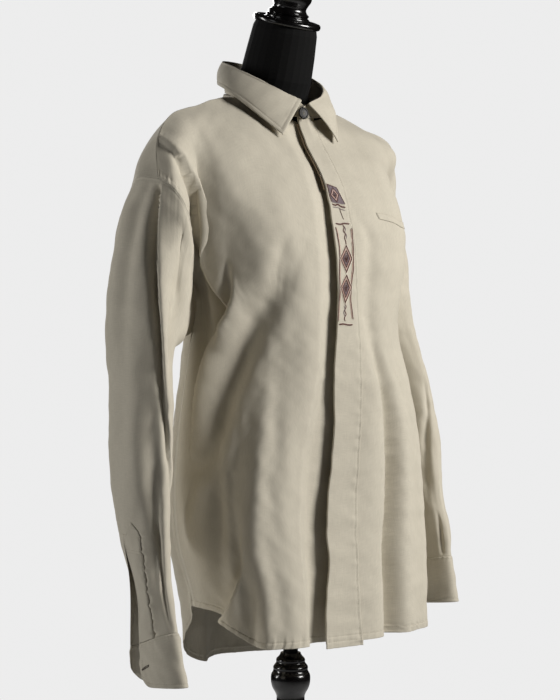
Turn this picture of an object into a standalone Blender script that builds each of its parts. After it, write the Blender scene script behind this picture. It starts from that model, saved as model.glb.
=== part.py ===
"""An embroidered long-sleeved shirt worn by a limbless dress form on a turned stand.

The shirt hangs from the form's shoulders. It is a loose drop-shoulder cut with a concealed button
front, a welt pocket, a yoke, a two-piece collar and open cuffs with tower plackets. Metres, +Z up,
the front faces -Y, the wearer's left is +X, and the origin is under the middle of the base.
"""

import bpy
import numpy as np
from mathutils import Vector

CLOTH = 0.0012
SEAM_GAP = 0.0004
LIFT = 0.0004
UNDERARM_Z = 1.073
LEFT, RIGHT = 1.0, -1.0

BEIGE = (0.53, 0.475, 0.375)
THREAD = (0.21, 0.075, 0.05)
MAUVE = (0.33, 0.25, 0.275)
BLACK = (0.012, 0.011, 0.011)
HORN = (0.03, 0.02, 0.018)


def material(name, colour, roughness):
    made = bpy.data.materials.new(name)
    made.use_nodes = True
    shader = made.node_tree.nodes["Principled BSDF"]
    shader.inputs["Base Color"].default_value = (*colour, 1.0)
    shader.inputs["Roughness"].default_value = roughness
    return made


def spline(keys, values, at):
    """Values at each place in `at`, on a smooth curve through the table's rows."""
    keys = np.asarray(keys, float)
    values = np.asarray(values, float)
    at = np.clip(np.asarray(at, float), keys[0], keys[-1])
    slopes = np.gradient(values, keys, axis=0)
    i = np.clip(np.searchsorted(keys, at, side="right") - 1, 0, len(keys) - 2)
    step = keys[i + 1] - keys[i]
    t = (at - keys[i]) / step
    wide = t.shape + (1,) * (values.ndim - 1)
    t = t.reshape(wide)
    step = step.reshape(wide)
    start = (2 * t**3 - 3 * t**2 + 1) * values[i] + (t**3 - 2 * t**2 + t) * step * slopes[i]
    end = (3 * t**2 - 2 * t**3) * values[i + 1] + (t**3 - t**2) * step * slopes[i + 1]
    return start + end


def ease(t):
    t = np.clip(t, 0, 1)
    return t * t * (3 - 2 * t)


def unit(vectors):
    return vectors / np.linalg.norm(vectors, axis=-1, keepdims=True)


class Panel:
    """A piece of cloth: a grid of points on its right side, and the way out of each."""

    def __init__(self, name, grid, middle, around=False, slit_row=None):
        self.name, self.grid, self.around, self.slit_row = name, grid.copy(), around, slit_row
        self.normal = self.facing()
        self.flip = np.sum(self.normal * (grid - middle)) < 0
        if self.flip:
            self.normal = -self.normal

    def facing(self):
        grid = self.grid
        if self.around:
            wrapped = np.concatenate([grid[:, -2:-1], grid, grid[:, 1:2]], axis=1)
            along = np.gradient(wrapped, axis=1)[:, 1:-1]
        else:
            along = np.gradient(grid, axis=1)
        return unit(np.cross(np.gradient(grid, axis=0), along))

    def inset(self, rows, columns, gap=SEAM_GAP / 2):
        """Draws one edge back from its seam line, along the cloth."""
        points = self.seam_points[rows, columns]
        across = unit(np.cross(np.gradient(points, axis=0), self.normal[rows, columns]))
        if isinstance(rows, int):
            inner = self.seam_points[1 if rows == 0 else -2, columns]
        else:
            inner = self.seam_points[rows, 1 if columns == 0 else -2]
        way = np.sign(np.sum(across * (inner - points)))
        self.grid[rows, columns] += across * way * gap


def share_seams(panels):
    """Gives points on one seam a single facing, so the walls meet squarely, but not across a deep crease."""
    totals = {}
    for panel in panels:
        panel.seam_points = panel.grid.copy()
        for point, normal in zip(panel.grid.reshape(-1, 3), panel.normal.reshape(-1, 3)):
            key = tuple(np.round(point, 5))
            totals[key] = totals.get(key, 0) + normal
    for panel in panels:
        flat = panel.normal.reshape(-1, 3)
        for n, point in enumerate(panel.grid.reshape(-1, 3)):
            others = totals[tuple(np.round(point, 5))] - flat[n]
            size = np.linalg.norm(others)
            if size > 0.01:
                flat[n] = unit(flat[n] + others * ease((flat[n] @ others / size - 0.1) / 0.5))
        panel.normal = flat.reshape(panel.grid.shape)


def mesh_object(name, points, faces, finish, parent=None):
    mesh = bpy.data.meshes.new(name)
    mesh.from_pydata([tuple(p) for p in points], [], faces)
    mesh.materials.append(finish)
    mesh.shade_smooth()
    made = bpy.data.objects.new(name, mesh)
    bpy.context.scene.collection.objects.link(made)
    made.parent = parent
    return made


def solid(panel, finish, parent=None, thick=CLOTH):
    """The panel as one closed wall: right side, wrong side and the edges between them."""
    outer = panel.grid
    rows, columns = outer.shape[:2]
    points = np.concatenate([outer.reshape(-1, 3), (outer - panel.normal * thick).reshape(-1, 3)])
    joined = rows if panel.around and panel.slit_row is None else panel.slit_row or 0

    def at(i, j, side):
        if j == columns - 1 and panel.around and i <= joined:
            j = 0
        return (side * rows + i) * columns + j

    faces = []
    for i in range(rows - 1):
        for j in range(columns - 1):
            faces.append([at(i, j, 0), at(i + 1, j, 0), at(i + 1, j + 1, 0), at(i, j + 1, 0)])
            faces.append([at(i, j, 1), at(i, j + 1, 1), at(i + 1, j + 1, 1), at(i + 1, j, 1)])
    end = rows - 1
    for j in range(columns - 1):
        faces.append([at(0, j, 1), at(0, j, 0), at(0, j + 1, 0), at(0, j + 1, 1)])
        faces.append([at(end, j, 0), at(end, j, 1), at(end, j + 1, 1), at(end, j + 1, 0)])
    for i in range(joined if panel.around else 0, rows - 1):
        j = columns - 1
        faces.append([at(i, 0, 0), at(i, 0, 1), at(i + 1, 0, 1), at(i + 1, 0, 0)])
        faces.append([at(i, j, 1), at(i, j, 0), at(i + 1, j, 0), at(i + 1, j, 1)])
    if panel.flip:
        faces = [face[::-1] for face in faces]
    used = sorted({n for face in faces for n in face})
    index = {n: k for k, n in enumerate(used)}
    faces = [[index[n] for n in face] for face in faces]
    return mesh_object(panel.name, points[used], faces, finish, parent)


def sample(field, r, c):
    """A grid's values at fractional rows and columns."""
    r, c = np.asarray(r, float), np.asarray(c, float)
    i = np.clip(r.astype(int), 0, field.shape[0] - 2)
    j = np.clip(c.astype(int), 0, field.shape[1] - 2)
    a, b = (r - i)[:, None, None], (c - j)[None, :, None]
    top = field[i][:, j] * (1 - b) + field[i][:, j + 1] * b
    low = field[i + 1][:, j] * (1 - b) + field[i + 1][:, j + 1] * b
    return top * (1 - a) + low * a


def patch(name, panel, rows, columns, lift=LIFT, thick=CLOTH, reach=None):
    """A piece that lies on a panel: the panel's own points between the bounds, moved out."""
    def between(bounds):
        inside = np.arange(np.floor(bounds[0]) + 1, np.ceil(bounds[1]))
        return np.array([bounds[0], *inside, bounds[1]])

    r, c = between(rows), between(columns)
    grid = sample(panel.grid, r, c)
    normal = unit(sample(panel.normal, r, c))
    if reach is not None:
        grid[-1] += unit(grid[-1] - grid[-2]) * reach
    made = Panel(name, grid + normal * (lift + thick), grid - normal)
    made.normal = normal
    return made


# A fold runs straight from (top_u, top_z) to (end_u, end_z) on its panel. u is 0 at the panel's centre
# edge and 1 at its outer seam. Widths are in u, depth is in metres, plus for a ridge. The fades are the
# shares of its length over which it grows and dies away.
FOLD_COLUMNS = ("top_u", "top_z", "end_u", "end_z", "width", "end_width", "depth", "fade_in", "fade_out")
RIGHT_FRONT_FOLDS = {
    "bust_ridge": (0.56, 1.20, 1.00, 0.88, 0.13, 0.13, 0.016, 0.45, 0.30),
    "bust_trough": (0.26, 1.18, 0.92, 0.76, 0.12, 0.13, -0.015, 0.35, 0.35),
    "centre_ridge": (0.17, 1.10, 0.26, 0.60, 0.10, 0.12, 0.006, 0.40, 0.02),
    "centre_trough": (0.33, 1.00, 0.44, 0.60, 0.06, 0.08, -0.009, 0.35, 0.02),
    "flare_ridge": (0.52, 0.90, 0.62, 0.60, 0.08, 0.085, 0.020, 0.75, 0.02),
    "side_hollow": (0.72, 0.94, 0.84, 0.60, 0.08, 0.09, -0.014, 0.60, 0.02),
}
LEFT_FRONT_FOLDS = {
    "placket_ridge": (0.12, 1.16, 0.16, 0.60, 0.09, 0.12, 0.005, 0.40, 0.02),
    "bust_trough": (0.28, 1.15, 0.46, 0.62, 0.060, 0.11, -0.014, 0.35, 0.02),
    "outer_ridge": (0.46, 1.17, 0.62, 0.62, 0.09, 0.12, 0.007, 0.40, 0.02),
    "side_trough": (0.72, 1.05, 0.76, 0.62, 0.07, 0.09, -0.010, 0.50, 0.02),
}
BACK_FOLDS = {
    "right_blade_trough": (-0.34, 1.24, -0.42, 0.62, 0.08, 0.11, -0.013, 0.40, 0.02),
    "middle_ridge": (-0.10, 1.20, -0.12, 0.60, 0.10, 0.13, 0.008, 0.40, 0.02),
    "middle_trough": (0.12, 1.22, 0.14, 0.60, 0.08, 0.10, -0.011, 0.45, 0.02),
    "left_blade_ridge": (0.36, 1.18, 0.38, 0.60, 0.09, 0.11, 0.009, 0.40, 0.02),
    "left_side_trough": (0.62, 1.12, 0.66, 0.64, 0.08, 0.10, -0.011, 0.40, 0.02),
    "right_side_ridge": (-0.62, 0.96, -0.66, 0.64, 0.09, 0.12, 0.008, 0.45, 0.02),
}


def folded(u, z, folds):
    """How far the cloth stands out of its plain shape at each (u, z)."""
    total = np.zeros(np.broadcast(u, z).shape)
    for row in folds.values():
        f = dict(zip(FOLD_COLUMNS, row))
        along = (f["top_z"] - z) / (f["top_z"] - f["end_z"])
        middle = f["top_u"] + (f["end_u"] - f["top_u"]) * along
        width = f["width"] + (f["end_width"] - f["width"]) * np.clip(along, 0, 1)
        grown = ease(along / f["fade_in"]) * ease((1.02 - along) / f["fade_out"])
        total += f["depth"] * grown * np.exp(-(((u - middle) / width) ** 2))
    return total


# The body below the underarm: a boxy quarter curve between the centre line and each side seam.
BODY_COLUMNS = ("z", "front_y", "back_y", "right_x", "right_y", "left_x", "left_y")
BODY_ROWS = (
    (1.073, -0.1235, 0.104, 0.155, 0.020, 0.1505, 0.0331),
    (1.000, -0.1200, 0.101, 0.163, 0.028, 0.180, 0.024),
    (0.930, -0.1140, 0.103, 0.170, 0.034, 0.197, 0.016),
    (0.860, -0.1090, 0.107, 0.174, 0.036, 0.205, 0.010),
    (0.790, -0.1070, 0.112, 0.168, 0.036, 0.210, 0.006),
    (0.720, -0.1070, 0.118, 0.146, 0.036, 0.213, 0.003),
    (0.590, -0.1080, 0.124, 0.128, 0.034, 0.215, 0.000),
)
BOXINESS = {("front", RIGHT): 0.80, ("front", LEFT): 0.78, ("back", RIGHT): 0.96, ("back", LEFT): 0.86}


def body_section(u, z, side, face):
    """Plan position on the body at u (0 centre, 1 side seam) and height z."""
    row = spline([-r[0] for r in BODY_ROWS], [r[1:] for r in BODY_ROWS], -z)
    centre_y = row[..., 0] if face == "front" else row[..., 1]
    seam_x = row[..., 4] if side == LEFT else row[..., 2]
    seam_y = row[..., 5] if side == LEFT else row[..., 3]
    turn = np.pi / 2 * np.abs(u)
    power = BOXINESS[face, side]
    x = seam_x * np.sin(turn) ** power * np.where(u < 0, -1, 1)
    y = seam_y + (centre_y - seam_y) * np.abs(np.cos(turn)) ** power
    return np.stack([x, y], axis=-1)


# The armhole seam from the underarm, up the front, over the arm and down the back.
ARMHOLE_COLUMNS = ("share", "out", "y", "z")
ARMHOLE = (
    (0.00, 0.155, 0.020, 1.073),
    (0.09, 0.170, -0.010, 1.128),
    (0.18, 0.195, -0.046, 1.190),
    (0.25, 0.224, -0.064, 1.237),
    (0.36, 0.249, -0.040, 1.272),
    (0.50, 0.255, 0.000, 1.276),
    (0.64, 0.240, 0.040, 1.264),
    (0.75, 0.214, 0.064, 1.228),
    (0.83, 0.194, 0.062, 1.180),
    (0.91, 0.173, 0.046, 1.122),
    (1.00, 0.155, 0.020, 1.073),
)
YOKE_FRONT_SHARE, YOKE_BACK_SHARE = 0.36, 0.64


def armhole(share):
    return spline([r[0] for r in ARMHOLE], [r[1:] for r in ARMHOLE], share)


def hang(points, side):
    """Sets a right-hand net on its own side. The left arm hangs further back than the right."""
    points = np.array(points, float)
    if side == LEFT:
        lean = ease((points[..., 0] - 0.12) / 0.12) * ease((1.375 - points[..., 2]) / 0.10)
        drop = ease((points[..., 0] - 0.08) / 0.10) * ease((points[..., 2] - 1.22) / 0.10)
        points[..., 0] -= 0.030 * lean + 0.007 * drop
        points[..., 2] -= 0.0095 * drop
        points[..., 1] += 0.064 * lean
    points[..., 0] *= side
    return points


# Control columns across a panel, from its centre edge to its outer seam.
COLUMNS_U = (0.00, 0.16, 0.34, 0.58, 0.74, 0.87, 1.00)
NECK_U = 0.34
# The rows' points are (out, y, z); each row's last point is on the armhole seam at the share named.
SHOULDER_SEAM = ((0.077, 0.030, 1.400), (0.150, 0.016, 1.381), (0.200, 0.006, 1.362),
                 (0.235, -0.016, 1.323))
NECK_FRONT = ((0.000, -0.0395, 1.3655), (0.046, -0.020, 1.3775))
NECK_BACK = ((0.000, 0.108, 1.418), (0.048, 0.092, 1.415))
FRONT_CHEST = (
    (0.30, (0.000, -0.053, 1.334), (0.048, -0.048, 1.338), (0.098, -0.030, 1.352), (0.160, -0.018, 1.353),
     (0.200, -0.030, 1.334), (0.228, -0.046, 1.299)),
    (0.24, (0.000, -0.0935, 1.275), (0.050, -0.092, 1.277), (0.104, -0.082, 1.284), (0.170, -0.060, 1.288),
     (0.190, -0.036, 1.283), (0.208, -0.046, 1.258)),
    (0.165, (0.000, -0.1110, 1.215), (0.052, -0.113, 1.216), (0.112, -0.106, 1.217), (0.164, -0.068, 1.218),
     (0.177, -0.038, 1.212), (0.183, -0.036, 1.200)),
    (0.080, (0.000, -0.1200, 1.150), (0.052, -0.122, 1.150), (0.108, -0.112, 1.150), (0.156, -0.064, 1.148),
     (0.163, -0.038, 1.145), (0.1665, -0.021, 1.138)),
)
BACK_SEAM = ((0.000, 0.126, 1.315), (0.048, 0.126, 1.315), (0.096, 0.123, 1.312), (0.156, 0.108, 1.304),
             (0.192, 0.090, 1.294), (0.218, 0.066, 1.281))
BACK_CHEST = (
    (0.72, (0.000, 0.131, 1.255), (0.048, 0.131, 1.255), (0.100, 0.126, 1.254), (0.156, 0.108, 1.252),
     (0.184, 0.088, 1.248), (0.204, 0.076, 1.246)),
    (0.82, (0.000, 0.126, 1.185), (0.048, 0.126, 1.185), (0.098, 0.118, 1.184), (0.150, 0.092, 1.184),
     (0.170, 0.070, 1.183), (0.184, 0.064, 1.181)),
    (0.91, (0.000, 0.114, 1.125), (0.046, 0.114, 1.125), (0.094, 0.104, 1.125), (0.138, 0.078, 1.124),
     (0.155, 0.060, 1.123), (0.166, 0.052, 1.122)),
)
YOKE_MIDDLE = ((0.000, 0.121, 1.370), (0.050, 0.114, 1.370), (0.100, 0.084, 1.375), (0.156, 0.062, 1.360),
               (0.198, 0.048, 1.340), (0.233, 0.028, 1.307))

HEM_FRONT_Z, HEM_SIDE_Z, HEM_BACK_Z = 0.655, 0.700, 0.609
LEFT_EDGE_U, RIGHT_EDGE_U = -0.05, -0.075
UNDERLAY_REACH = 0.0025
# How far the right front lies behind the left one where they lap.
LAP_COLUMNS = ("z", "depth")
LAP_ROWS = ((1.40, 0.0048), (1.30, 0.0054), (1.20, 0.0070), (1.00, 0.0090), (0.80, 0.0120), (0.60, 0.0150))


def hem_height(u, face):
    """The shirt-tail hem: low at the middle, rising to the side seam."""
    u = np.abs(u)
    if face == "back":
        return HEM_BACK_Z + (HEM_SIDE_Z - HEM_BACK_Z) * ease((u - 0.25) / 0.75)
    return HEM_FRONT_Z + (HEM_SIDE_Z - HEM_FRONT_Z) * ease((u - 0.55) / 0.45)


def upper_net(top_row, chest, side, face):
    """Control rows from the top seam to the underarm."""
    net = [hang(top_row, side)]
    for share, *places in chest:
        net.append(hang(np.vstack([places, armhole(share)]), side))
    u = np.array(COLUMNS_U)
    under = body_section(u, np.full(len(u), UNDERARM_Z), side, face)
    under[:, 0] *= side
    net.append(np.hstack([under, np.full((len(u), 1), UNDERARM_Z)]))
    return np.array(net)


def across_net(net, rows, u):
    """Points of a control net at evenly spaced rows and the places u."""
    drops = np.arange(len(net)) / (len(net) - 1)
    placed = spline(drops, net, np.linspace(0, 1, rows + 1))
    return np.stack([spline(COLUMNS_U, row, np.abs(u)) for row in placed])


def body_grid(top_row, chest, side, face, u, upper_rows, lower_rows):
    """A body panel's plain points: rows down from the top seam, columns from centre to outer seam."""
    upper = across_net(upper_net(top_row, chest, side, face), upper_rows, u)
    upper[..., 0] *= np.where(u < 0, -1, 1)
    share = np.linspace(0, 1, lower_rows + 1)[1:, None]
    z = (1 - share) * UNDERARM_Z + share * hem_height(u, face)[None]
    plan = body_section(np.broadcast_to(u, z.shape), z, side, face)
    plan[..., 0] *= side
    return np.concatenate([upper, np.concatenate([plan, z[..., None]], axis=2)])


def fold_body(panel, u, folds):
    """Presses the folds into a body panel, leaving its seams where they are."""
    push = folded(u[None], panel.grid[..., 2], folds) * ease((1 - np.abs(u)) / 0.10)
    panel.grid += panel.normal * push[..., None]


# Rings below the armhole: how far down the sleeve, then the ring's middle, half sizes, the tilt of its
# inner side and the rake of its front.
RING_COLUMNS = ("drop", "out", "y", "z", "half_out", "half_deep", "tilt", "rake")
SLEEVE_ROWS = {
    RIGHT: (
        (0.14, 0.224, 0.012, 1.146, 0.037, 0.064, 0.086, 0.0),
        (0.30, 0.244, 0.013, 1.075, 0.031, 0.071, 0.036, 0.0),
        (0.45, 0.244, 0.012, 0.985, 0.030, 0.067, 0.008, 0.0),
        (0.60, 0.246, 0.010, 0.880, 0.029, 0.062, 0.000, 0.0),
        (0.74, 0.242, 0.004, 0.802, 0.021, 0.052, 0.000, 0.0),
        (0.87, 0.243, -0.0125, 0.742, 0.019, 0.041, 0.000, 0.1),
        (1.00, 0.244, -0.020, 0.673, 0.015, 0.052, 0.000, 0.29),
    ),
    LEFT: (
        (0.14, 0.215, 0.071, 1.146, 0.037, 0.057, 0.084, 0.0),
        (0.30, 0.238, 0.078, 1.080, 0.031, 0.060, 0.034, 0.0),
        (0.45, 0.258, 0.060, 0.995, 0.030, 0.060, 0.008, 0.0),
        (0.60, 0.269, 0.044, 0.900, 0.029, 0.057, 0.000, 0.0),
        (0.74, 0.268, 0.026, 0.836, 0.021, 0.046, 0.000, 0.0),
        (0.87, 0.269, 0.006, 0.790, 0.019, 0.040, 0.000, 0.05),
        (1.00, 0.267, -0.002, 0.740, 0.015, 0.040, 0.000, 0.15),
    ),
}
CUFF_ROWS = {
    RIGHT: (
        (0.5, 0.2425, -0.024, 0.643, 0.017, 0.057, 0.000, 0.20),
        (1.0, 0.2400, -0.027, 0.613, 0.019, 0.060, 0.000, 0.10),
    ),
    LEFT: (
        (0.5, 0.2660, -0.005, 0.708, 0.017, 0.044, 0.000, 0.12),
        (1.0, 0.2670, -0.009, 0.675, 0.019, 0.047, 0.000, 0.10),
    ),
}
# On a sleeve, u is the share of the way round from the underarm through the front.
SLEEVE_FOLDS = {
    "outer_valley": (0.545, 1.262, 0.43, 1.02, 0.045, 0.050, -0.011, 0.10, 0.30),
    "front_valley": (0.40, 1.262, 0.34, 0.90, 0.050, 0.055, -0.013, 0.10, 0.35),
    "front_ridge": (0.29, 1.25, 0.26, 0.80, 0.05, 0.05, 0.006, 0.20, 0.40),
    "back_valley": (0.74, 1.22, 0.70, 0.84, 0.050, 0.055, -0.010, 0.25, 0.40),
}
SLIT_TOP_ROW_SHARE = 0.74


def sleeve_ring(q, side, out, y, z, half_out, half_deep, tilt, rake):
    turn = 2 * np.pi * np.asarray(q)
    forward = half_deep * np.sin(turn)
    height = z - tilt * np.cos(turn) + rake * forward
    return np.stack([side * (out - half_out * np.cos(turn)), y - forward, height], axis=-1)


def sleeve_grid(ring, q, side, rows):
    """A sleeve's plain points: rows from the armhole seam down to the cuff, columns round the arm."""
    net = [ring]
    for drop, *sizes in SLEEVE_ROWS[side]:
        net.append(sleeve_ring(q, side, *sizes))
    drops = [0, *(row[0] for row in SLEEVE_ROWS[side])]
    return spline(drops, np.array(net), np.linspace(0, 1, rows + 1))


def fold_sleeve(panel, q):
    z = panel.grid[..., 2]
    push = folded(q[None], z, SLEEVE_FOLDS)
    panel.grid[1:] += (panel.normal * push[..., None])[1:]


for old in list(bpy.data.objects):
    bpy.data.objects.remove(old, do_unlink=True)

cloth = material("beige_cotton", BEIGE, 0.82)
jersey = material("black_jersey", BLACK, 0.80)
lacquer = material("black_lacquered_wood", BLACK, 0.22)
horn = material("dark_horn", HORN, 0.25)

shirt = bpy.data.objects.new("shirt", None)
stand = bpy.data.objects.new("dress_form", None)
bpy.context.scene.collection.objects.link(shirt)
bpy.context.scene.collection.objects.link(stand)

# Columns shared by the fronts, the back and the yoke, so that their seam points agree.
HALF_U = np.array([0.0, 0.055, 0.11, 0.165, 0.22, 0.28, NECK_U, 0.40, 0.46, 0.52, 0.58, 0.64, 0.70, 0.76, 0.82,
                   0.88, 0.94, 1.0])
NECK_COLUMN = 6
UPPER_ROWS, LOWER_ROWS, YOKE_ROWS, SLEEVE_RINGS = 9, 11, 4, 15
BODY_MIDDLE = np.array([0, 0.01, 0.95])

front_top = np.array([*NECK_FRONT, *SHOULDER_SEAM, armhole(YOKE_FRONT_SHARE)])
back_top = np.array([*BACK_SEAM, armhole(YOKE_BACK_SHARE)])
yoke_top = np.array([*NECK_BACK, *SHOULDER_SEAM, armhole(YOKE_FRONT_SHARE)])
yoke_mid = np.array([*YOKE_MIDDLE, armhole(0.50)])

fronts = {}
for side, edge_u, name in ((RIGHT, RIGHT_EDGE_U, "right_front"), (LEFT, LEFT_EDGE_U, "left_front")):
    u = np.concatenate([[edge_u], HALF_U])
    grid = body_grid(front_top, FRONT_CHEST, side, "front", u, UPPER_ROWS, LOWER_ROWS)
    fronts[side] = Panel(name, grid, BODY_MIDDLE)

both_u = np.concatenate([-HALF_U[:0:-1], HALF_U])
halves = [body_grid(back_top, BACK_CHEST, side, "back", HALF_U, UPPER_ROWS, LOWER_ROWS) for side in (RIGHT, LEFT)]
back = Panel("back", np.concatenate([halves[0][:, :0:-1], halves[1]], axis=1), BODY_MIDDLE)
yoke_halves = []
for side in (RIGHT, LEFT):
    half = across_net(np.array([hang(row, side) for row in (yoke_top, yoke_mid, back_top)]), YOKE_ROWS, HALF_U)
    half[0, NECK_COLUMN:] = fronts[side].grid[0, NECK_COLUMN + 1:]
    yoke_halves.append(half)
yoke = Panel("yoke", np.concatenate([yoke_halves[0][:, :0:-1], yoke_halves[1]], axis=1), BODY_MIDDLE)

# Sleeves take their first ring from the panels' own armhole edges.
sleeves, sleeve_q = {}, {}
front_share = spline(np.arange(6) / 5, [0.36, 0.30, 0.24, 0.165, 0.08, 0.0], np.linspace(0, 1, UPPER_ROWS + 1))
back_share = spline(np.arange(5) / 4, [0.64, 0.72, 0.82, 0.91, 1.0], np.linspace(0, 1, UPPER_ROWS + 1))
yoke_share = np.linspace(0.36, 0.64, YOKE_ROWS + 1)
ring_q = np.concatenate([front_share[::-1], yoke_share[1:-1], back_share])
SLIT_COLUMN = UPPER_ROWS + 3
for side, name in ((RIGHT, "right_sleeve"), (LEFT, "left_sleeve")):
    outer = -1 if side == LEFT else 0
    ring = np.concatenate([fronts[side].grid[UPPER_ROWS::-1, -1], yoke.grid[1:-1, outer],
                           back.grid[:UPPER_ROWS + 1, outer]])
    grid = sleeve_grid(ring, ring_q, side, SLEEVE_RINGS)
    order = np.concatenate([np.arange(SLIT_COLUMN, len(ring_q) - 1), np.arange(0, SLIT_COLUMN + 1)])
    middle = grid[:, :-1].mean(axis=1, keepdims=True)
    slit_row = int(SLIT_TOP_ROW_SHARE * SLEEVE_RINGS)
    sleeves[side] = Panel(name, grid[:, order], middle, around=True, slit_row=slit_row)
    sleeve_q[side] = ring_q[order]

# Folds are pressed in first, then the seams are drawn apart.
fold_body(fronts[RIGHT], np.concatenate([[RIGHT_EDGE_U], HALF_U]), RIGHT_FRONT_FOLDS)
fold_body(fronts[LEFT], np.concatenate([[LEFT_EDGE_U], HALF_U]), LEFT_FRONT_FOLDS)
fold_body(back, both_u, BACK_FOLDS)
for side in (RIGHT, LEFT):
    fold_sleeve(sleeves[side], sleeve_q[side])
panels = [fronts[RIGHT], fronts[LEFT], back, yoke, sleeves[RIGHT], sleeves[LEFT]]
for panel in panels:
    panel.normal = panel.facing() * (-1 if panel.flip else 1)

lap = fronts[RIGHT]
lap_depth = spline([-r[0] for r in LAP_ROWS], [r[1] for r in LAP_ROWS], -lap.grid[..., 2])
near = ease((0.14 - np.concatenate([[RIGHT_EDGE_U], HALF_U])) / 0.14)
lap.grid -= lap.normal * (lap_depth * near[None])[..., None]
share_seams(panels)
for side in (RIGHT, LEFT):
    front, sleeve = fronts[side], sleeves[side]
    front.inset(0, slice(NECK_COLUMN + 1, None))
    front.inset(slice(None), -1)
    sleeve.inset(0, slice(None))
    sleeve.inset(SLEEVE_RINGS, slice(None))
    back.inset(slice(None), -1 if side == LEFT else 0)
    yoke.inset(slice(None), -1 if side == LEFT else 0)
    split = slice(slit_row + 1, None)
    for column, inner in ((0, 1), (-1, -2)):
        toward = unit(sleeve.grid[split, inner] - sleeve.grid[split, column])
        sleeve.grid[split, column] += toward * 0.0006
back.inset(0, slice(None))
yoke.inset(-1, slice(None))
last = len(both_u)
yoke.inset(0, slice(0, last // 2 - NECK_COLUMN + 1))
yoke.inset(0, slice(last // 2 + NECK_COLUMN, None))

for panel in panels:
    solid(panel, cloth, shirt)

# The front's covered button band, the strip under it, and the pocket welt lie on the fronts.
placket = patch("front_placket", fronts[LEFT], (0.0, UPPER_ROWS + LOWER_ROWS), (0.0, 1.55),
                lift=1.6 * LIFT, reach=0.007)
underlay = patch("fly_underlay", fronts[LEFT], (1.0, 4.0), (0.0, 1.4), lift=-2 * CLOTH - LIFT)
underlay.grid[:, 0] += unit(underlay.grid[:, 0] - underlay.grid[:, 1]) * UNDERLAY_REACH
welt = patch("pocket_welt", fronts[LEFT], (4.70, 4.97), (5.0, 15.0))
for panel in (placket, underlay, welt):
    solid(panel, cloth, shirt)

# Cuffs carry on from the sleeves' last ring, and stay open at the slit.
cuffs = {}
for side, name in ((RIGHT, "right_cuff"), (LEFT, "left_cuff")):
    sleeve = sleeves[side]
    net = [sleeve.seam_points[-1], *(sleeve_ring(sleeve_q[side], side, *row[1:]) for row in CUFF_ROWS[side])]
    grid = spline([0, 0.5, 1.0], np.array(net), np.linspace(0, 1, 5))
    middle = grid.mean(axis=1, keepdims=True)
    cuff = Panel(name, grid, middle, around=True, slit_row=0)
    cuff.normal[0] = sleeve.normal[-1]
    cuff.seam_points = grid.copy()
    cuff.inset(0, slice(None))
    for column, inner in ((0, 1), (-1, -2)):
        toward = unit(grid[:, inner] - grid[:, column])
        cuff.grid[:, column] += toward * 0.0012
    cuff.grid[-1, -1] += (grid[-1, -2] - grid[-1, -1]) * 0.45 + np.array([0, 0, 0.010])
    solid(cuff, cloth, shirt)
    cuffs[side] = cuff

for side, name in ((RIGHT, "right_sleeve_placket"), (LEFT, "left_sleeve_placket")):
    end = sleeves[side].grid.shape[1] - 1
    strip = patch(name, sleeves[side], (slit_row - 0.7, SLEEVE_RINGS), (end - 1.5, end))
    solid(strip, cloth, shirt)

# The collar: share of the way from the middle of the back to the front, then each line's place.
COLLAR_COLUMNS = ("share", "out", "y", "z")
NECK_LINE = ((0.00, 0.000, 0.107, 1.4188), (0.25, 0.0475, 0.0905, 1.4162), (0.50, 0.0755, 0.030, 1.4012),
             (0.75, 0.0460, -0.0190, 1.3792))
NECK_ENDS = {RIGHT: (1.03, -0.005, -0.0345, 1.3690), LEFT: (1.10, -0.019, -0.0405, 1.3680)}
FOLD_LINE = ((0.00, 0.000, 0.113, 1.4635), (0.25, 0.049, 0.096, 1.460), (0.50, 0.068, 0.034, 1.440),
             (0.75, 0.047, -0.018, 1.4125))
FOLD_ENDS = {RIGHT: (1.00, 0.011, -0.0385, 1.3935), LEFT: (1.00, -0.003, -0.0420, 1.3885)}
LEAF_EDGE = {
    RIGHT: ((0.00, 0.000, 0.124, 1.4306), (0.25, 0.0545, 0.103, 1.4290), (0.50, 0.088, 0.032, 1.409),
            (0.75, 0.082, -0.012, 1.381), (1.00, 0.055, -0.053, 1.342)),
    LEFT: ((0.00, 0.000, 0.124, 1.4306), (0.25, 0.0545, 0.103, 1.4290), (0.50, 0.086, 0.032, 1.408),
           (0.75, 0.066, -0.016, 1.383), (1.00, 0.039, -0.054, 1.339)),
}
STAND_TOP_ENDS = {RIGHT: (1.03, -0.004, -0.0335, 1.3895), LEFT: (1.08, -0.012, -0.0398, 1.3865)}
STAND_LAP = 0.0034
COLLAR_STEPS = 12


def collar_line(table, side, share):
    made = spline([r[0] for r in table], [r[1:] for r in table], share)
    made[:, 0] *= side
    if side == LEFT:
        made[:, 1] -= STAND_LAP * ease((share - 0.70) / 0.22)
    return made


def both_sides(tables, ends):
    """One line all round the neck, from the wearer's right end to the left one."""
    halves = [collar_line(tables[side], side, np.linspace(0, ends[side], COLLAR_STEPS + 1)) for side in (RIGHT, LEFT)]
    return np.concatenate([halves[0][:0:-1], halves[1]])


neck_middle = np.array([0, 0.033, 1.40])
foot = both_sides({s: (*NECK_LINE, NECK_ENDS[s]) for s in (RIGHT, LEFT)}, {RIGHT: 1.03, LEFT: 1.10})
crest = both_sides({s: (*FOLD_LINE, STAND_TOP_ENDS[s]) for s in (RIGHT, LEFT)}, {RIGHT: 1.03, LEFT: 1.08})
inward = unit((neck_middle - crest) * (1, 1, 0))
crest += inward * 0.0019 - np.array([0, 0, 0.0012])
rise = np.linspace(0, 1, 4)[:, None, None]
stand_grid = crest[None] * (1 - rise) + foot[None] * rise
collar_stand = Panel("collar_stand", stand_grid, neck_middle)
solid(collar_stand, cloth, shirt)

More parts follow.
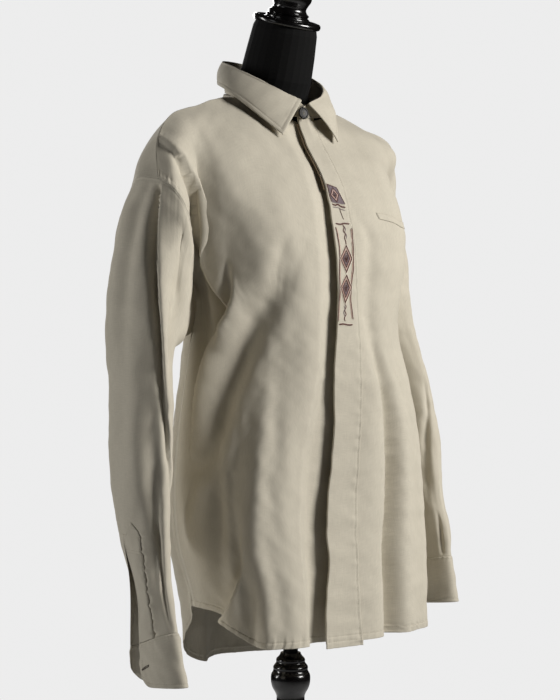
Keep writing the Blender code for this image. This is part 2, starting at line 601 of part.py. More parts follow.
leaf_top = both_sides({s: (*FOLD_LINE, FOLD_ENDS[s]) for s in (RIGHT, LEFT)}, {RIGHT: 1.0, LEFT: 1.0})
leaf_low = both_sides(LEAF_EDGE, {RIGHT: 1.0, LEFT: 1.0})
fall = np.linspace(0, 1, 5)[:, None, None]
outward = unit((leaf_low - neck_middle) * (1, 1, 0))[None]
leaf_grid = leaf_top[None] * (1 - fall) + leaf_low[None] * fall + outward * 0.0045 * 4 * fall * (1 - fall)
collar_leaf = Panel("collar_leaf", leaf_grid, neck_middle)
solid(collar_leaf, cloth, shirt)

# Turned pieces: radius and height rows.
FORM_COLUMNS = ("z", "half_x", "front_y", "back_y", "tilt")
FORM_ROWS = (
    (0.800, 0.070, -0.042, 0.050, 0.0), (0.806, 0.096, -0.060, 0.068, 0.0), (0.825, 0.114, -0.070, 0.080, 0.0),
    (0.870, 0.126, -0.078, 0.084, 0.0), (0.940, 0.126, -0.078, 0.080, 0.0), (1.020, 0.118, -0.078, 0.072, 0.0),
    (1.090, 0.126, -0.086, 0.074, 0.0), (1.150, 0.138, -0.094, 0.082, 0.0), (1.200, 0.146, -0.090, 0.090, 0.0),
    (1.250, 0.156, -0.070, 0.092, 0.0), (1.294, 0.168, -0.050, 0.090, 0.0), (1.326, 0.172, -0.034, 0.084, 0.0),
    (1.3497, 0.158, -0.024, 0.074, 0.0), (1.3697, 0.130, -0.014, 0.071, 0.0), (1.3877, 0.088, -0.004, 0.076, 0.05),
    (1.4037, 0.063, -0.002, 0.086, 0.18), (1.4180, 0.051, -0.008, 0.0905, 0.30),
    (1.438, 0.0490, -0.0175, 0.0835, 0.3365), (1.470, 0.0470, -0.0262, 0.0702, 0.3365),
    (1.4990, 0.0440, -0.0336, 0.0586, 0.3365), (1.5067, 0.0415, -0.0341, 0.0535, 0.3365),
)
NECK_LEAN = 0.3247
CAP_ROWS = (
    (0.0462, -0.0040), (0.0475, -0.0028), (0.0475, 0.0028), (0.0462, 0.0040), (0.0312, 0.0042), (0.0306, 0.0075),
    (0.0278, 0.0095), (0.0292, 0.0125), (0.0262, 0.0150), (0.0235, 0.0200), (0.0250, 0.0250), (0.0285, 0.0330),
    (0.0275, 0.0420), (0.0215, 0.0500), (0.0110, 0.0550),
)
COLUMN_ROWS = (
    (0.0440, 0.0224), (0.0440, 0.0300), (0.0300, 0.0370), (0.0230, 0.0500), (0.0205, 0.0900), (0.0185, 0.3200),
    (0.0205, 0.4400), (0.0270, 0.4900), (0.0310, 0.5200), (0.0260, 0.5450), (0.0196, 0.5660), (0.0210, 0.5700),
    (0.0258, 0.5790), (0.0276, 0.5890), (0.0272, 0.5960), (0.0240, 0.6030), (0.0243, 0.6070), (0.0200, 0.6140),
    (0.0203, 0.6170), (0.0150, 0.6240), (0.0140, 0.6270),
)
BASE_ROWS = ((0.1660, 0.0000), (0.1700, 0.0040), (0.1700, 0.0160), (0.1640, 0.0212), (0.1500, 0.0220))


def turned(name, profile, segments, finish, parent=None):
    """A closed body turned about its own z axis from (radius, height) rows."""
    turn = np.arange(segments) * 2 * np.pi / segments
    rings = [np.stack([r * np.cos(turn), r * np.sin(turn), np.full(segments, h)], axis=1) for r, h in profile]
    return stacked(name, rings, finish, parent)


def stacked(name, rings, finish, parent=None):
    """A closed body through rings of points, with a flat cap at each end."""
    count = len(rings[0])
    faces = [list(range(count))[::-1]]
    for i in range(len(rings) - 1):
        for j in range(count):
            k = (j + 1) % count
            faces.append([i * count + j, i * count + k, (i + 1) * count + k, (i + 1) * count + j])
    faces.append([(len(rings) - 1) * count + j for j in range(count)])
    return mesh_object(name, np.concatenate(rings), faces, finish, parent)


turn = np.arange(28) * 2 * np.pi / 28
form_rings = []
for z, half_x, front_y, back_y, tilt in FORM_ROWS:
    half_y, centre_y = (back_y - front_y) / 2, (back_y + front_y) / 2
    y = centre_y + half_y * np.sin(turn)
    form_rings.append(np.stack([half_x * np.cos(turn), y, z + tilt * (y - centre_y)], axis=1))
stacked("form_torso", form_rings, jersey, stand)
cap = turned("neck_cap", CAP_ROWS, 28, lacquer, stand)
cap.location = (0, 0.0084, 1.511)
cap.rotation_euler = (NECK_LEAN, 0, 0)
turned("stand_pole", ((0.01035, 0.6273), (0.01035, 0.7997)), 24, lacquer, stand)
turned("stand_column", COLUMN_ROWS, 28, lacquer, stand)
turned("stand_base", BASE_ROWS, 40, lacquer, stand)

BUTTON_ROWS = ((0.0068, 0.0000), (0.0080, 0.0007), (0.0080, 0.0020), (0.0070, 0.0026), (0.0058, 0.0022))


def button(name, place, facing):
    made = turned(name, BUTTON_ROWS, 20, horn, shirt)
    made.rotation_mode = "QUATERNION"
    made.rotation_quaternion = Vector(facing).to_track_quat("Z", "Y")
    made.location = place
    return made


stand_end = Vector((-0.0115, -0.0433, 1.3745))
button("collar_button", stand_end, (0.05, -0.97, 0.10))
chest = fronts[LEFT]
spot = Vector(sample(chest.grid, [5.55], [11.5])[0, 0])
facing = Vector(sample(chest.normal, [5.55], [11.5])[0, 0]).normalized()
button("pocket_button", spot + facing * 0.0009, facing)
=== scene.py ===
import bpy
import numpy as np
from mathutils import Matrix, Vector


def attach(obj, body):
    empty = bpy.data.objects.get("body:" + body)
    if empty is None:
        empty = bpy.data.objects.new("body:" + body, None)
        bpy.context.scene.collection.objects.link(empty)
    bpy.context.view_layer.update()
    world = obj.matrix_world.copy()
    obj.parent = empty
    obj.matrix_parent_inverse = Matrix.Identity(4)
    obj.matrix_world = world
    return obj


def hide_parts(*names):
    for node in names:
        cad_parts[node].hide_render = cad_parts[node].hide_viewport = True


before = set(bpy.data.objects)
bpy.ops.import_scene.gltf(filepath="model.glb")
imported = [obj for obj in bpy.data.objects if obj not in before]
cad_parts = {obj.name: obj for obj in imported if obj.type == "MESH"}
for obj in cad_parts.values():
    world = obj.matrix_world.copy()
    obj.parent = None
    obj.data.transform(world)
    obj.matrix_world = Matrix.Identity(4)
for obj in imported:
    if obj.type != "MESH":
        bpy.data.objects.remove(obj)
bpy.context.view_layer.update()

# The studio: a round pale floor, an even pale surround, and four soft lamps.
# The camera is level with the shirt's chest and looks at it from the wearer's right.
bpy.ops.object.select_all(action="DESELECT")
FLOOR_RADIUS = 2.55
SURROUND = (0.845, 0.845, 0.845, 1.0)
bpy.ops.mesh.primitive_circle_add(vertices=96, radius=FLOOR_RADIUS, fill_type="NGON",
                                  location=(0, 0, -0.0005))
floor = bpy.context.object
floor.name = "studio_floor"
bpy.ops.object.mode_set(mode="EDIT")
bpy.ops.mesh.inset(thickness=0.12)
bpy.ops.transform.translate(value=(0, 0, 0.0002))
bpy.ops.object.mode_set(mode="OBJECT")
bpy.ops.object.transform_apply(location=True, rotation=True, scale=True)
paint = bpy.data.materials.new("pale_floor_paint")
paint.use_nodes = True
nodes, links = paint.node_tree.nodes, paint.node_tree.links
grain = nodes.new("ShaderNodeTexNoise")
grain.inputs["Scale"].default_value = 3.0
tone = nodes.new("ShaderNodeValToRGB")
tone.color_ramp.elements[0].color = (0.62, 0.62, 0.62, 1)
tone.color_ramp.elements[1].color = (0.68, 0.68, 0.68, 1)
links.new(grain.outputs["Fac"], tone.inputs["Fac"])
links.new(tone.outputs["Color"], nodes["Principled BSDF"].inputs["Base Color"])
nodes["Principled BSDF"].inputs["Roughness"].default_value = 0.9
floor.data.materials.append(paint)

world = bpy.data.worlds.new("studio_surround")
bpy.context.scene.world = world
world.use_nodes = True
nodes, links = world.node_tree.nodes, world.node_tree.links
nodes["Background"].inputs["Color"].default_value = (1.0, 0.985, 0.96, 1)
nodes["Background"].inputs["Strength"].default_value = 0.010
seen = nodes.new("ShaderNodeBackground")
seen.inputs["Color"].default_value = SURROUND
seen.inputs["Strength"].default_value = 1.0
ray = nodes.new("ShaderNodeLightPath")
mix = nodes.new("ShaderNodeMixShader")
links.new(ray.outputs["Is Camera Ray"], mix.inputs["Fac"])
links.new(nodes["Background"].outputs["Background"], mix.inputs[1])
links.new(seen.outputs["Background"], mix.inputs[2])
links.new(mix.outputs["Shader"], nodes["World Output"].inputs["Surface"])
bpy.context.scene.view_settings.view_transform = "Standard"

# Each lamp's name, place, aim, size, watts, spread in degrees and colour.
LAMPS = (
    ("key_lamp", (1.38, -2.40, 2.20), (0.0, 0.0, 1.0), (1.3, 1.3), 29.5, 90, (1.0, 0.985, 0.96)),
    ("rim_lamp", (-1.95, 1.50, 1.5), (-0.1, 0.0, 1.0), (0.4, 1.6), 24, 180, (1.0, 0.99, 0.97)),
    ("fill_lamp", (-2.6, -0.2, 1.4), (-0.2, 0.0, 1.0), (0.8, 1.6), 2.5, 180, (0.98, 0.99, 1.0)),
    ("back_lamp", (0.8, 2.3, 2.1), (0.0, 0.0, 1.1), (1.4, 1.0), 26, 180, (1.0, 1.0, 1.0)),
)
for name, place, aim, size, watts, spread, colour in LAMPS:
    lamp = bpy.data.lights.new(name, "AREA")
    lamp.shape = "RECTANGLE"
    lamp.size, lamp.size_y = size
    lamp.energy = watts
    lamp.color = colour
    lamp.spread = np.radians(spread)
    holder = bpy.data.objects.new(name, lamp)
    holder.location = place
    holder.rotation_mode = "QUATERNION"
    holder.rotation_quaternion = (Vector(aim) - Vector(place)).to_track_quat("-Z", "Y")
    bpy.context.scene.collection.objects.link(holder)

CAMERA_AZIMUTH, CAMERA_DISTANCE, CAMERA_HEIGHT, CAMERA_SHIFT = np.radians(-38), 2.4, 1.05, 0.0148
camera = bpy.data.objects.new("camera", bpy.data.cameras.new("camera"))
camera.data.sensor_width = 36
camera.data.lens = 88.15
toward = Vector((np.sin(CAMERA_AZIMUTH), -np.cos(CAMERA_AZIMUTH), 0))
across = Vector((np.cos(CAMERA_AZIMUTH), np.sin(CAMERA_AZIMUTH), 0))
camera.location = Vector((0, 0, CAMERA_HEIGHT)) - across * CAMERA_SHIFT + toward * CAMERA_DISTANCE
camera.rotation_mode = "QUATERNION"
camera.rotation_quaternion = (-toward).to_track_quat("-Z", "Y")
bpy.context.scene.collection.objects.link(camera)
bpy.context.scene.camera = camera


# The dress form: a stuffed torso and neck under black jersey, on a black pole in a turned stand.
# The neck cap and the column are turned wood with a thick gloss lacquer, so they are spun here.
def finish(name, colour, roughness, sheen=0.0, coat=0.0):
    made = bpy.data.materials.new(name)
    made.use_nodes = True
    shader = made.node_tree.nodes["Principled BSDF"]
    shader.inputs["Base Color"].default_value = (*colour, 1)
    shader.inputs["Roughness"].default_value = roughness
    shader.inputs["Sheen Weight"].default_value = sheen
    shader.inputs["Sheen Roughness"].default_value = 0.45
    shader.inputs["Coat Weight"].default_value = coat
    shader.inputs["Coat Roughness"].default_value = 0.06
    shader.inputs["Specular IOR Level"].default_value = 0.25 if coat == 0 else 0.5
    return made, made.node_tree.nodes, made.node_tree.links, shader


def mapped(nodes, links, source, scale):
    where = nodes.new("ShaderNodeTexCoord")
    placed = nodes.new("ShaderNodeMapping")
    placed.inputs["Scale"].default_value = scale
    links.new(where.outputs[source], placed.inputs["Vector"])
    return placed.outputs["Vector"]


def blotches(nodes, links, vector, scale, low, high):
    """A soft random tone between two colours."""
    noise = nodes.new("ShaderNodeTexNoise")
    noise.inputs["Scale"].default_value = scale
    noise.inputs["Detail"].default_value = 3.0
    links.new(vector, noise.inputs["Vector"])
    ramp = nodes.new("ShaderNodeValToRGB")
    ramp.color_ramp.elements[0].position, ramp.color_ramp.elements[1].position = 0.3, 0.7
    ramp.color_ramp.elements[0].color, ramp.color_ramp.elements[1].color = (*low, 1), (*high, 1)
    links.new(noise.outputs["Fac"], ramp.inputs["Fac"])
    return ramp.outputs["Color"]


def mottled(nodes, links, shader, scale, low, high, stretch=(1, 1, 1)):
    """Gives a finish an uneven colour between two tones."""
    tone = blotches(nodes, links, mapped(nodes, links, "Object", stretch), scale, low, high)
    links.new(tone, shader.inputs["Base Color"])


def ribbed(nodes, links, vector, direction, pitch, distortion):
    """Ridges with grooves between them, each about a pitch wide in the vector's own metres."""
    wave = nodes.new("ShaderNodeTexWave")
    wave.bands_direction = direction
    wave.inputs["Scale"].default_value = WAVE_SCALE / pitch
    wave.inputs["Distortion"].default_value = distortion
    links.new(vector, wave.inputs["Vector"])
    return wave


def roughened(nodes, links, shader, height, strength, distance):
    bump = nodes.new("ShaderNodeBump")
    bump.inputs["Strength"].default_value = strength
    bump.inputs["Distance"].default_value = distance
    links.new(height, bump.inputs["Height"])
    links.new(bump.outputs["Normal"], shader.inputs["Normal"])


# A wave texture of scale 1 has ridges and grooves about this wide, in metres.
WAVE_SCALE = 0.31831 / 2
JERSEY_STITCH = 0.0011
jersey, nodes, links, shader = finish("black_jersey_knit", (0.004, 0.004, 0.004), 0.92)
mottled(nodes, links, shader, 9.0, (0.001, 0.001, 0.001), (0.003, 0.003, 0.003))
knit = ribbed(nodes, links, mapped(nodes, links, "Object", (1, 1, 1)), "Z", JERSEY_STITCH, 2.5)
knit.inputs["Detail Scale"].default_value = 2.0
roughened(nodes, links, shader, knit.outputs["Fac"], 0.25, 0.0002)

lacquer, nodes, links, shader = finish("black_gloss_lacquer", (0.003, 0.003, 0.003), 0.22, coat=0.6)
mottled(nodes, links, shader, 60.0, (0.001, 0.001, 0.001), (0.004, 0.003, 0.003), (1, 1, 0.2))
orange_peel = nodes.new("ShaderNodeTexNoise")
orange_peel.inputs["Scale"].default_value = 160
links.new(mapped(nodes, links, "Object", (1, 1, 0.4)), orange_peel.inputs["Vector"])
roughened(nodes, links, shader, orange_peel.outputs["Fac"], 0.05, 0.0003)

for name, coat in (("form_torso", jersey), ("stand_pole", lacquer), ("stand_base", lacquer)):
    for slot in bpy.data.objects[name].material_slots:
        slot.material = coat


def spline(keys, values, at):
    """Values at each place in `at`, on a smooth curve through the table's rows."""
    keys = np.asarray(keys, float)
    values = np.asarray(values, float)
    at = np.clip(np.asarray(at, float), keys[0], keys[-1])
    slopes = np.gradient(values, keys, axis=0)
    i = np.clip(np.searchsorted(keys, at, side="right") - 1, 0, len(keys) - 2)
    step = keys[i + 1] - keys[i]
    t = (at - keys[i]) / step
    wide = t.shape + (1,) * (values.ndim - 1)
    t = t.reshape(wide)
    step = step.reshape(wide)
    start = (2 * t**3 - 3 * t**2 + 1) * values[i] + (t**3 - 2 * t**2 + t) * step * slopes[i]
    end = (3 * t**2 - 2 * t**3) * values[i + 1] + (t**3 - t**2) * step * slopes[i + 1]
    return start + end


def along_table(table, at):
    """A table's other columns, at places in its first column, which may run up or down."""
    table = np.array(table, float)
    way = np.sign(table[-1, 0] - table[0, 0])
    values = table[:, 1] if table.shape[1] == 2 else table[:, 1:]
    return spline(way * table[:, 0], values, way * np.asarray(at, float))


def run_along(line):
    """How far along a line each of its points is."""
    return np.concatenate([[0], np.cumsum(np.linalg.norm(np.diff(line, axis=0), axis=1))])


# The turned profiles, as radius and height.
CAP_ROWS = (
    (0.0462, -0.0040), (0.0475, -0.0028), (0.0475, 0.0028), (0.0462, 0.0040), (0.0312, 0.0042),
    (0.0306, 0.0075), (0.0278, 0.0095), (0.0292, 0.0125), (0.0262, 0.0150), (0.0235, 0.0200),
    (0.0250, 0.0250), (0.0285, 0.0330), (0.0275, 0.0420), (0.0215, 0.0500), (0.0110, 0.0550),
)
COLUMN_ROWS = (
    (0.0440, 0.0224), (0.0440, 0.0300), (0.0300, 0.0370), (0.0230, 0.0500), (0.0205, 0.0900),
    (0.0185, 0.3200), (0.0205, 0.4400), (0.0270, 0.4900), (0.0310, 0.5200), (0.0260, 0.5450),
    (0.0196, 0.5660), (0.0210, 0.5700), (0.0258, 0.5790), (0.0276, 0.5890), (0.0272, 0.5960),
    (0.0240, 0.6030), (0.0243, 0.6070), (0.0200, 0.6140), (0.0203, 0.6170), (0.0150, 0.6240),
    (0.0140, 0.6270),
)
NECK_LEAN = 0.3247
CAP_PLACE = Vector((0, 0.0084, 1.511))


def select_only(made):
    bpy.ops.object.select_all(action="DESELECT")
    made.select_set(True)
    bpy.context.view_layer.objects.active = made


def lathe(name, rows):
    """Spins a turned profile about the upright axis and closes it at both ends."""
    chord = run_along(np.array(rows))
    fine = np.unique(np.concatenate([np.linspace(a, b, 5) for a, b in zip(chord, chord[1:])]))
    profile = spline(chord, rows, fine)
    profile = [(0.0, profile[0][1]), *profile, (0.0, profile[-1][1])]
    bpy.ops.object.select_all(action="DESELECT")
    bpy.ops.mesh.primitive_plane_add(size=0.01, location=(0, 0, 0))
    made = bpy.context.object
    made.name = name
    bpy.ops.object.mode_set(mode="EDIT")
    bpy.ops.mesh.select_all(action="SELECT")
    bpy.ops.mesh.merge(type="CENTER")
    bpy.ops.transform.translate(value=(0, 0, profile[0][1]))
    for (r, h), (next_r, next_h) in zip(profile, profile[1:]):
        bpy.ops.mesh.extrude_vertices_move(TRANSFORM_OT_translate={"value": (next_r - r, 0, next_h - h)})
    bpy.ops.mesh.select_all(action="SELECT")
    bpy.ops.mesh.spin(steps=72, angle=2 * np.pi, center=(0, 0, 0), axis=(0, 0, 1), use_auto_merge=True)
    bpy.ops.mesh.select_all(action="SELECT")
    bpy.ops.mesh.remove_doubles(threshold=0.00001)
    bpy.ops.mesh.normals_make_consistent(inside=False)
    bpy.ops.object.mode_set(mode="OBJECT")
    bpy.ops.object.shade_smooth_by_angle(angle=np.radians(35))
    return made


cap = lathe("neck_cap_turned", CAP_ROWS)
cap.data.transform(Matrix.Translation(CAP_PLACE) @ Matrix.Rotation(NECK_LEAN, 4, "X"))
column = lathe("stand_column_turned", COLUMN_ROWS)
for made, node in ((cap, "neck_cap"), (column, "stand_column")):
    made.data.materials.clear()
    made.data.materials.append(lacquer)
    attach(made, "root")
    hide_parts(node)


# The shirt's cotton: a fine plain weave, washed soft, with a cloudy tone that varies at random.
# Every cloth piece has its own grain map in metres, so the threads run along its cut.
THREAD_PITCH = 0.00055


def multiplied(nodes, links, first, second):
    made = nodes.new("ShaderNodeMix")
    made.data_type, made.blend_type = "RGBA", "MULTIPLY"
    made.inputs["Factor"].default_value = 1.0
    links.new(first, made.inputs["A"])
    links.new(second, made.inputs["B"])
    return made.outputs["Result"]


def woven(name, colour, strength=0.45):
    """Plain-woven cloth: warp and weft ribs, thicker slub threads, and cloudy tone."""
    made, nodes, links, shader = finish(name, colour, 0.85, sheen=0.08)
    grain = mapped(nodes, links, "UV", (1, 1, 1))
    ribs = []
    for direction in ("X", "Y"):
        rib = ribbed(nodes, links, grain, direction, THREAD_PITCH, 0.6)
        rib.inputs["Detail"].default_value = 1.0
        ribs.append(rib.outputs["Fac"])
    weave = nodes.new("ShaderNodeMath")
    weave.operation = "MAXIMUM"
    links.new(ribs[0], weave.inputs[0])
    links.new(ribs[1], weave.inputs[1])
    slub = nodes.new("ShaderNodeTexNoise")
    slub.inputs["Scale"].default_value = 1.0
    slub.inputs["Detail"].default_value = 2.0
    links.new(mapped(nodes, links, "UV", (90, 900, 1)), slub.inputs["Vector"])
    warp = nodes.new("ShaderNodeTexNoise")
    warp.inputs["Scale"].default_value = 1.0
    links.new(mapped(nodes, links, "UV", (1100, 60, 1)), warp.inputs["Vector"])
    threads = nodes.new("ShaderNodeMath")
    threads.operation = "ADD"
    links.new(slub.outputs["Fac"], threads.inputs[0])
    links.new(warp.outputs["Fac"], threads.inputs[1])
    tone = nodes.new("ShaderNodeMapRange")
    tone.inputs["From Min"].default_value, tone.inputs["From Max"].default_value = 0.7, 1.3
    tone.inputs["To Min"].default_value, tone.inputs["To Max"].default_value = 0.91, 1.05
    links.new(threads.outputs["Value"], tone.inputs["Value"])
    low, high = [c * 0.93 for c in colour], [min(1, c * 1.05) for c in colour]
    cloud = blotches(nodes, links, mapped(nodes, links, "Object", (1, 1, 0.6)), 5.0, low, high)
    links.new(multiplied(nodes, links, cloud, tone.outputs["Result"]), shader.inputs["Base Color"])
    fuzz = nodes.new("ShaderNodeMath")
    fuzz.operation = "MULTIPLY_ADD"
    fuzz.inputs[1].default_value = 0.6
    links.new(weave.outputs["Value"], fuzz.inputs[0])
    links.new(threads.outputs["Value"], fuzz.inputs[2])
    roughened(nodes, links, shader, fuzz.outputs["Value"], strength, 0.00012)
    return made


cotton = woven("beige_cotton_weave", (0.540, 0.498, 0.408))


def ease(t):
    t = np.clip(t, 0, 1)
    return t * t * (3 - 2 * t)


def unit(vectors):
    return vectors / np.maximum(np.linalg.norm(vectors, axis=-1, keepdims=True), 1e-12)


class Cloth:
    """One cut piece: a fine grid of points on its right side, and the way out of each."""

    def __init__(self, grid, middle, around=False, slit_row=None):
        self.grid, self.around, self.slit_row = np.array(grid, float), around, slit_row
        self.normal = self.facing()
        self.flip = np.sum(self.normal * (self.grid - middle)) < 0
        if self.flip:
            self.normal = -self.normal

    def facing(self):
        grid = self.grid
        if self.around:
            wrapped = np.concatenate([grid[:, -2:-1], grid, grid[:, 1:2]], axis=1)
            along = np.gradient(wrapped, axis=1)[:, 1:-1]
        else:
            along = np.gradient(grid, axis=1)
        return unit(np.cross(np.gradient(grid, axis=0), along))

    def face_again(self):
        self.normal = self.facing() * (-1 if self.flip else 1)

    def push(self, height):
        """Moves the cloth out of its own surface."""
        self.grid += self.normal * height[..., None]
        self.face_again()


def join_facings(pieces):
    """Pieces sewn along one line face one way there, so the light runs over the seam."""
    totals = {}
    keys = [np.round(p.grid.reshape(-1, 3) * 20000).astype(int) for p in pieces]
    rims = []
    for piece in pieces:
        rows, columns = piece.grid.shape[:2]
        number = np.arange(rows * columns).reshape(rows, columns)
        rims.append(np.unique(np.concatenate([number[0], number[-1], number[:, 0], number[:, -1]])))
    for piece, key, rim in zip(pieces, keys, rims):
        flat = piece.normal.reshape(-1, 3)
        for n in rim:
            totals.setdefault(tuple(key[n]), []).append(flat[n].copy())
    for piece, key, rim in zip(pieces, keys, rims):
        flat = piece.normal.reshape(-1, 3)
        for n in rim:
            flat[n] = unit(np.sum(totals[tuple(key[n])], axis=0))


def places(cloth, r, c):
    """Points of a piece, and its facing there, at fractional rows and columns."""
    r, c = np.broadcast_arrays(np.asarray(r, float), np.asarray(c, float))
    rows, columns = cloth.grid.shape[:2]
    r, c = np.clip(r, 0, rows - 1), np.clip(c, 0, columns - 1)
    i, j = np.minimum(r.astype(int), rows - 2), np.minimum(c.astype(int), columns - 2)
    p, s = (r - i)[..., None], (c - j)[..., None]

    def mixed(field):
        high = field[i, j] * (1 - s) + field[i, j + 1] * s
        return high * (1 - p) + (field[i + 1, j] * (1 - s) + field[i + 1, j + 1] * s) * p

    return mixed(cloth.grid), unit(mixed(cloth.normal))


def spot(cloth, across, u, z):
    """The fractional row and column of a piece at each place (u, z)."""
    u, z = np.broadcast_arrays(np.asarray(u, float), np.asarray(z, float))
    c = np.interp(u, across, np.arange(len(across)))
    j = np.minimum(c.ravel().astype(int), len(across) - 2)
    part = c.ravel() - j
    heights = cloth.grid[:, j, 2] * (1 - part) + cloth.grid[:, j + 1, 2] * part
    r = [np.interp(-h, -column, np.arange(len(column))) for h, column in zip(z.ravel(), heights.T)]
    return np.reshape(r, c.shape), c


def laid_on(base, r, c, lift):
    """A piece that lies on another one, lifted off it."""
    points, facing = places(base, r, c)
    grid = points + facing * np.asarray(lift)[..., None]
    return Cloth(grid, grid - facing)


FOLDED_EDGE_RADIUS = 0.0009


def rolled(shares, width):
    """1 inside a band and falling away round its two long edges."""
    d = np.minimum(shares, 1 - shares) * width
    t = np.clip(d / FOLDED_EDGE_RADIUS, 0, 1)
    return np.sqrt(np.maximum(1 - (1 - t) ** 2, 0))


def from_top(grid):
    """How far each point is from the piece's top edge, along the cloth."""
    steps = np.linalg.norm(np.diff(grid, axis=0), axis=2)
    return np.concatenate([np.zeros((1, grid.shape[1])), np.cumsum(steps, axis=0)])


def from_hem(grid):
    return from_top(grid[::-1])[::-1]


def along_rows(grid):
    steps = np.linalg.norm(np.diff(grid, axis=1), axis=2)
    return np.concatenate([np.zeros((grid.shape[0], 1)), np.cumsum(steps, axis=1)], axis=1)


def cloth_mesh(name, cloth, material, thick, node):
    """The piece as a thin closed shell with a grain map in metres."""
    outer = cloth.grid
    rows, columns = outer.shape[:2]
    points = np.concatenate([outer.reshape(-1, 3), (outer - cloth.normal * thick).reshape(-1, 3)])
    number = np.arange(2 * rows * columns).reshape(2, rows, columns)
    if cloth.around:
        joined = rows - 1 if cloth.slit_row is None else cloth.slit_row
        number[:, :joined + 1, -1] = number[:, :joined + 1, 0]
    joined = -1 if not cloth.around else joined
    quads = []

    def add(a, b, c, d):
        quads.append(np.stack([a, b, c, d], axis=-1).reshape(-1, 4))

    front, rear = number
    add(front[:-1, :-1], front[1:, :-1], front[1:, 1:], front[:-1, 1:])
    add(rear[:-1, :-1], rear[:-1, 1:], rear[1:, 1:], rear[1:, :-1])
    add(rear[0, :-1], front[0, :-1], front[0, 1:], rear[0, 1:])
    add(front[-1, :-1], rear[-1, :-1], rear[-1, 1:], front[-1, 1:])
    low = max(joined, 0)
    add(front[low:-1, 0], rear[low:-1, 0], rear[low + 1:, 0], front[low + 1:, 0])
    add(rear[low:-1, -1], front[low:-1, -1], front[low + 1:, -1], rear[low + 1:, -1])
    quads = np.concatenate(quads)
    if cloth.flip:
        quads = quads[:, ::-1]
    used, quads_flat = np.unique(quads, return_inverse=True)
    quads = quads_flat.reshape(-1, 4)
    mesh = bpy.data.meshes.new(name)
    mesh.vertices.add(len(used))
    mesh.vertices.foreach_set("co", points[used].astype(np.float32).ravel())
    mesh.loops.add(quads.size)
    mesh.loops.foreach_set("vertex_index", quads.astype(np.int32).ravel())
    mesh.polygons.add(len(quads))
    mesh.polygons.foreach_set("loop_start", np.arange(0, quads.size, 4, dtype=np.int32))
    mesh.polygons.foreach_set("loop_total", np.full(len(quads), 4, np.int32))
    mesh.update(calc_edges=True)
    along, down = along_rows(outer), from_top(outer)
    wide, long = along[:, -1].max(), down[-1].max()
    along = np.broadcast_to(along.mean(axis=0), (rows, columns))
    place = np.stack([along, down], axis=-1).reshape(-1, 2)
    place = np.concatenate([place, place])[used]
    grain = mesh.uv_layers.new(name="grain")
    grain.data.foreach_set("uv", place[quads.ravel()].astype(np.float32).ravel())
    mesh.materials.append(material)
    mesh.shade_smooth()
    mesh.validate()
    made = bpy.data.objects.new(name, mesh)
    bpy.context.scene.collection.objects.link(made)
    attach(made, "root")
    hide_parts(node)
    a, b = outer[1:, 1:] - outer[:-1, :-1], outer[1:, :-1] - outer[:-1, 1:]
    area = np.linalg.norm(np.cross(a, b), axis=2).sum() / 2
    wide, long = round(float(wide), 3) + 0.001, round(float(long), 3) + 0.001
    area = float(np.clip(area, 0.3 * wide * long, wide * long))
    return made


# A crease is a line of rows on its piece: the place (u, z), then how far the cloth stands out beside
# the line and over what width, first on the side of smaller u and then on the other. Metres.
def soft(*rows):
    """A crease with the same round shape on both sides: u, z, height, width."""
    return [(u, z, high, wide, high, wide) for u, z, high, wide in rows]


# Half the width over which a crease's two sides run into each other.
CREASE_BLEND = 0.0022


def creased(u, z, creases, span):
    """How far the creases move the cloth at each (u, z). span is the piece's breadth for u from 0 to 1."""
    total = np.zeros(np.broadcast(u, z).shape)
    s = np.broadcast_to(u * span, total.shape)
    for rows in creases.values():
        rows = np.array(rows, float)
        keys = run_along(rows[:, :2] * (span, 1))
        line = spline(keys, rows, np.linspace(0, keys[-1], 80))
        spots = np.stack([line[:, 0] * span, line[:, 1]], axis=1)
        way = unit(np.gradient(spots, axis=0))
        side = np.stack([-way[:, 1], way[:, 0]], axis=1) * np.where(way[:, 1:] < 0, 1, -1)
        reach = 3.2 * max(rows[:, 3].max(), rows[:, 5].max())
        low, high = spots.min(axis=0) - reach, spots.max(axis=0) + reach
        near = (s > low[0]) & (s < high[0]) & (z > low[1]) & (z < high[1])
        here = np.stack([s[near], np.broadcast_to(z, total.shape)[near]], axis=1)
        if not len(here):
            continue
        k = np.argmin(((here[:, None] - spots[None]) ** 2).sum(axis=2), axis=1)
        apart = here - spots[k]
        d = np.linalg.norm(apart, axis=1) * np.sign(np.sum(apart * side[k], axis=1) + 1e-12)
        share = 0.5 + 0.5 * np.tanh(d / CREASE_BLEND)
        inner = line[k, 2] * np.exp(-((d / line[k, 3]) ** 2))
        outer = line[k, 4] * np.exp(-((d / line[k, 5]) ** 2))
        total[near] += inner * (1 - share) + outer * share
    return total


def rumple(a, b, seed, size=0.0007):
    """Small slow unevenness of worn cloth, from a few waves in fixed random directions."""
    rng = np.random.default_rng(seed)
    total = np.zeros(np.broadcast(a, b).shape)
    for wave in (0.055, 0.038, 0.027, 0.019, 0.013):
        for _ in range(3):
            turn, start = rng.uniform(0, np.pi), rng.uniform(0, 6.28)
            bend = rng.uniform(0.3, 1.2)
            line = a * np.cos(turn) + b * np.sin(turn) + 0.3 * wave * np.sin((a - b) / wave / 2.3 * bend)
            total += size * (wave / 0.055) * np.sin(line * 2 * np.pi / wave / 1.4 + start) / 2.2
    return total


# The body: two fronts, a back and a yoke that laps over both shoulders, cut loose and long with a
# shirt-tail hem. They hang from the form's shoulders, and the wearer's left front laps the right one.
LEFT, RIGHT = 1.0, -1.0
UNDERARM_Z = 1.073
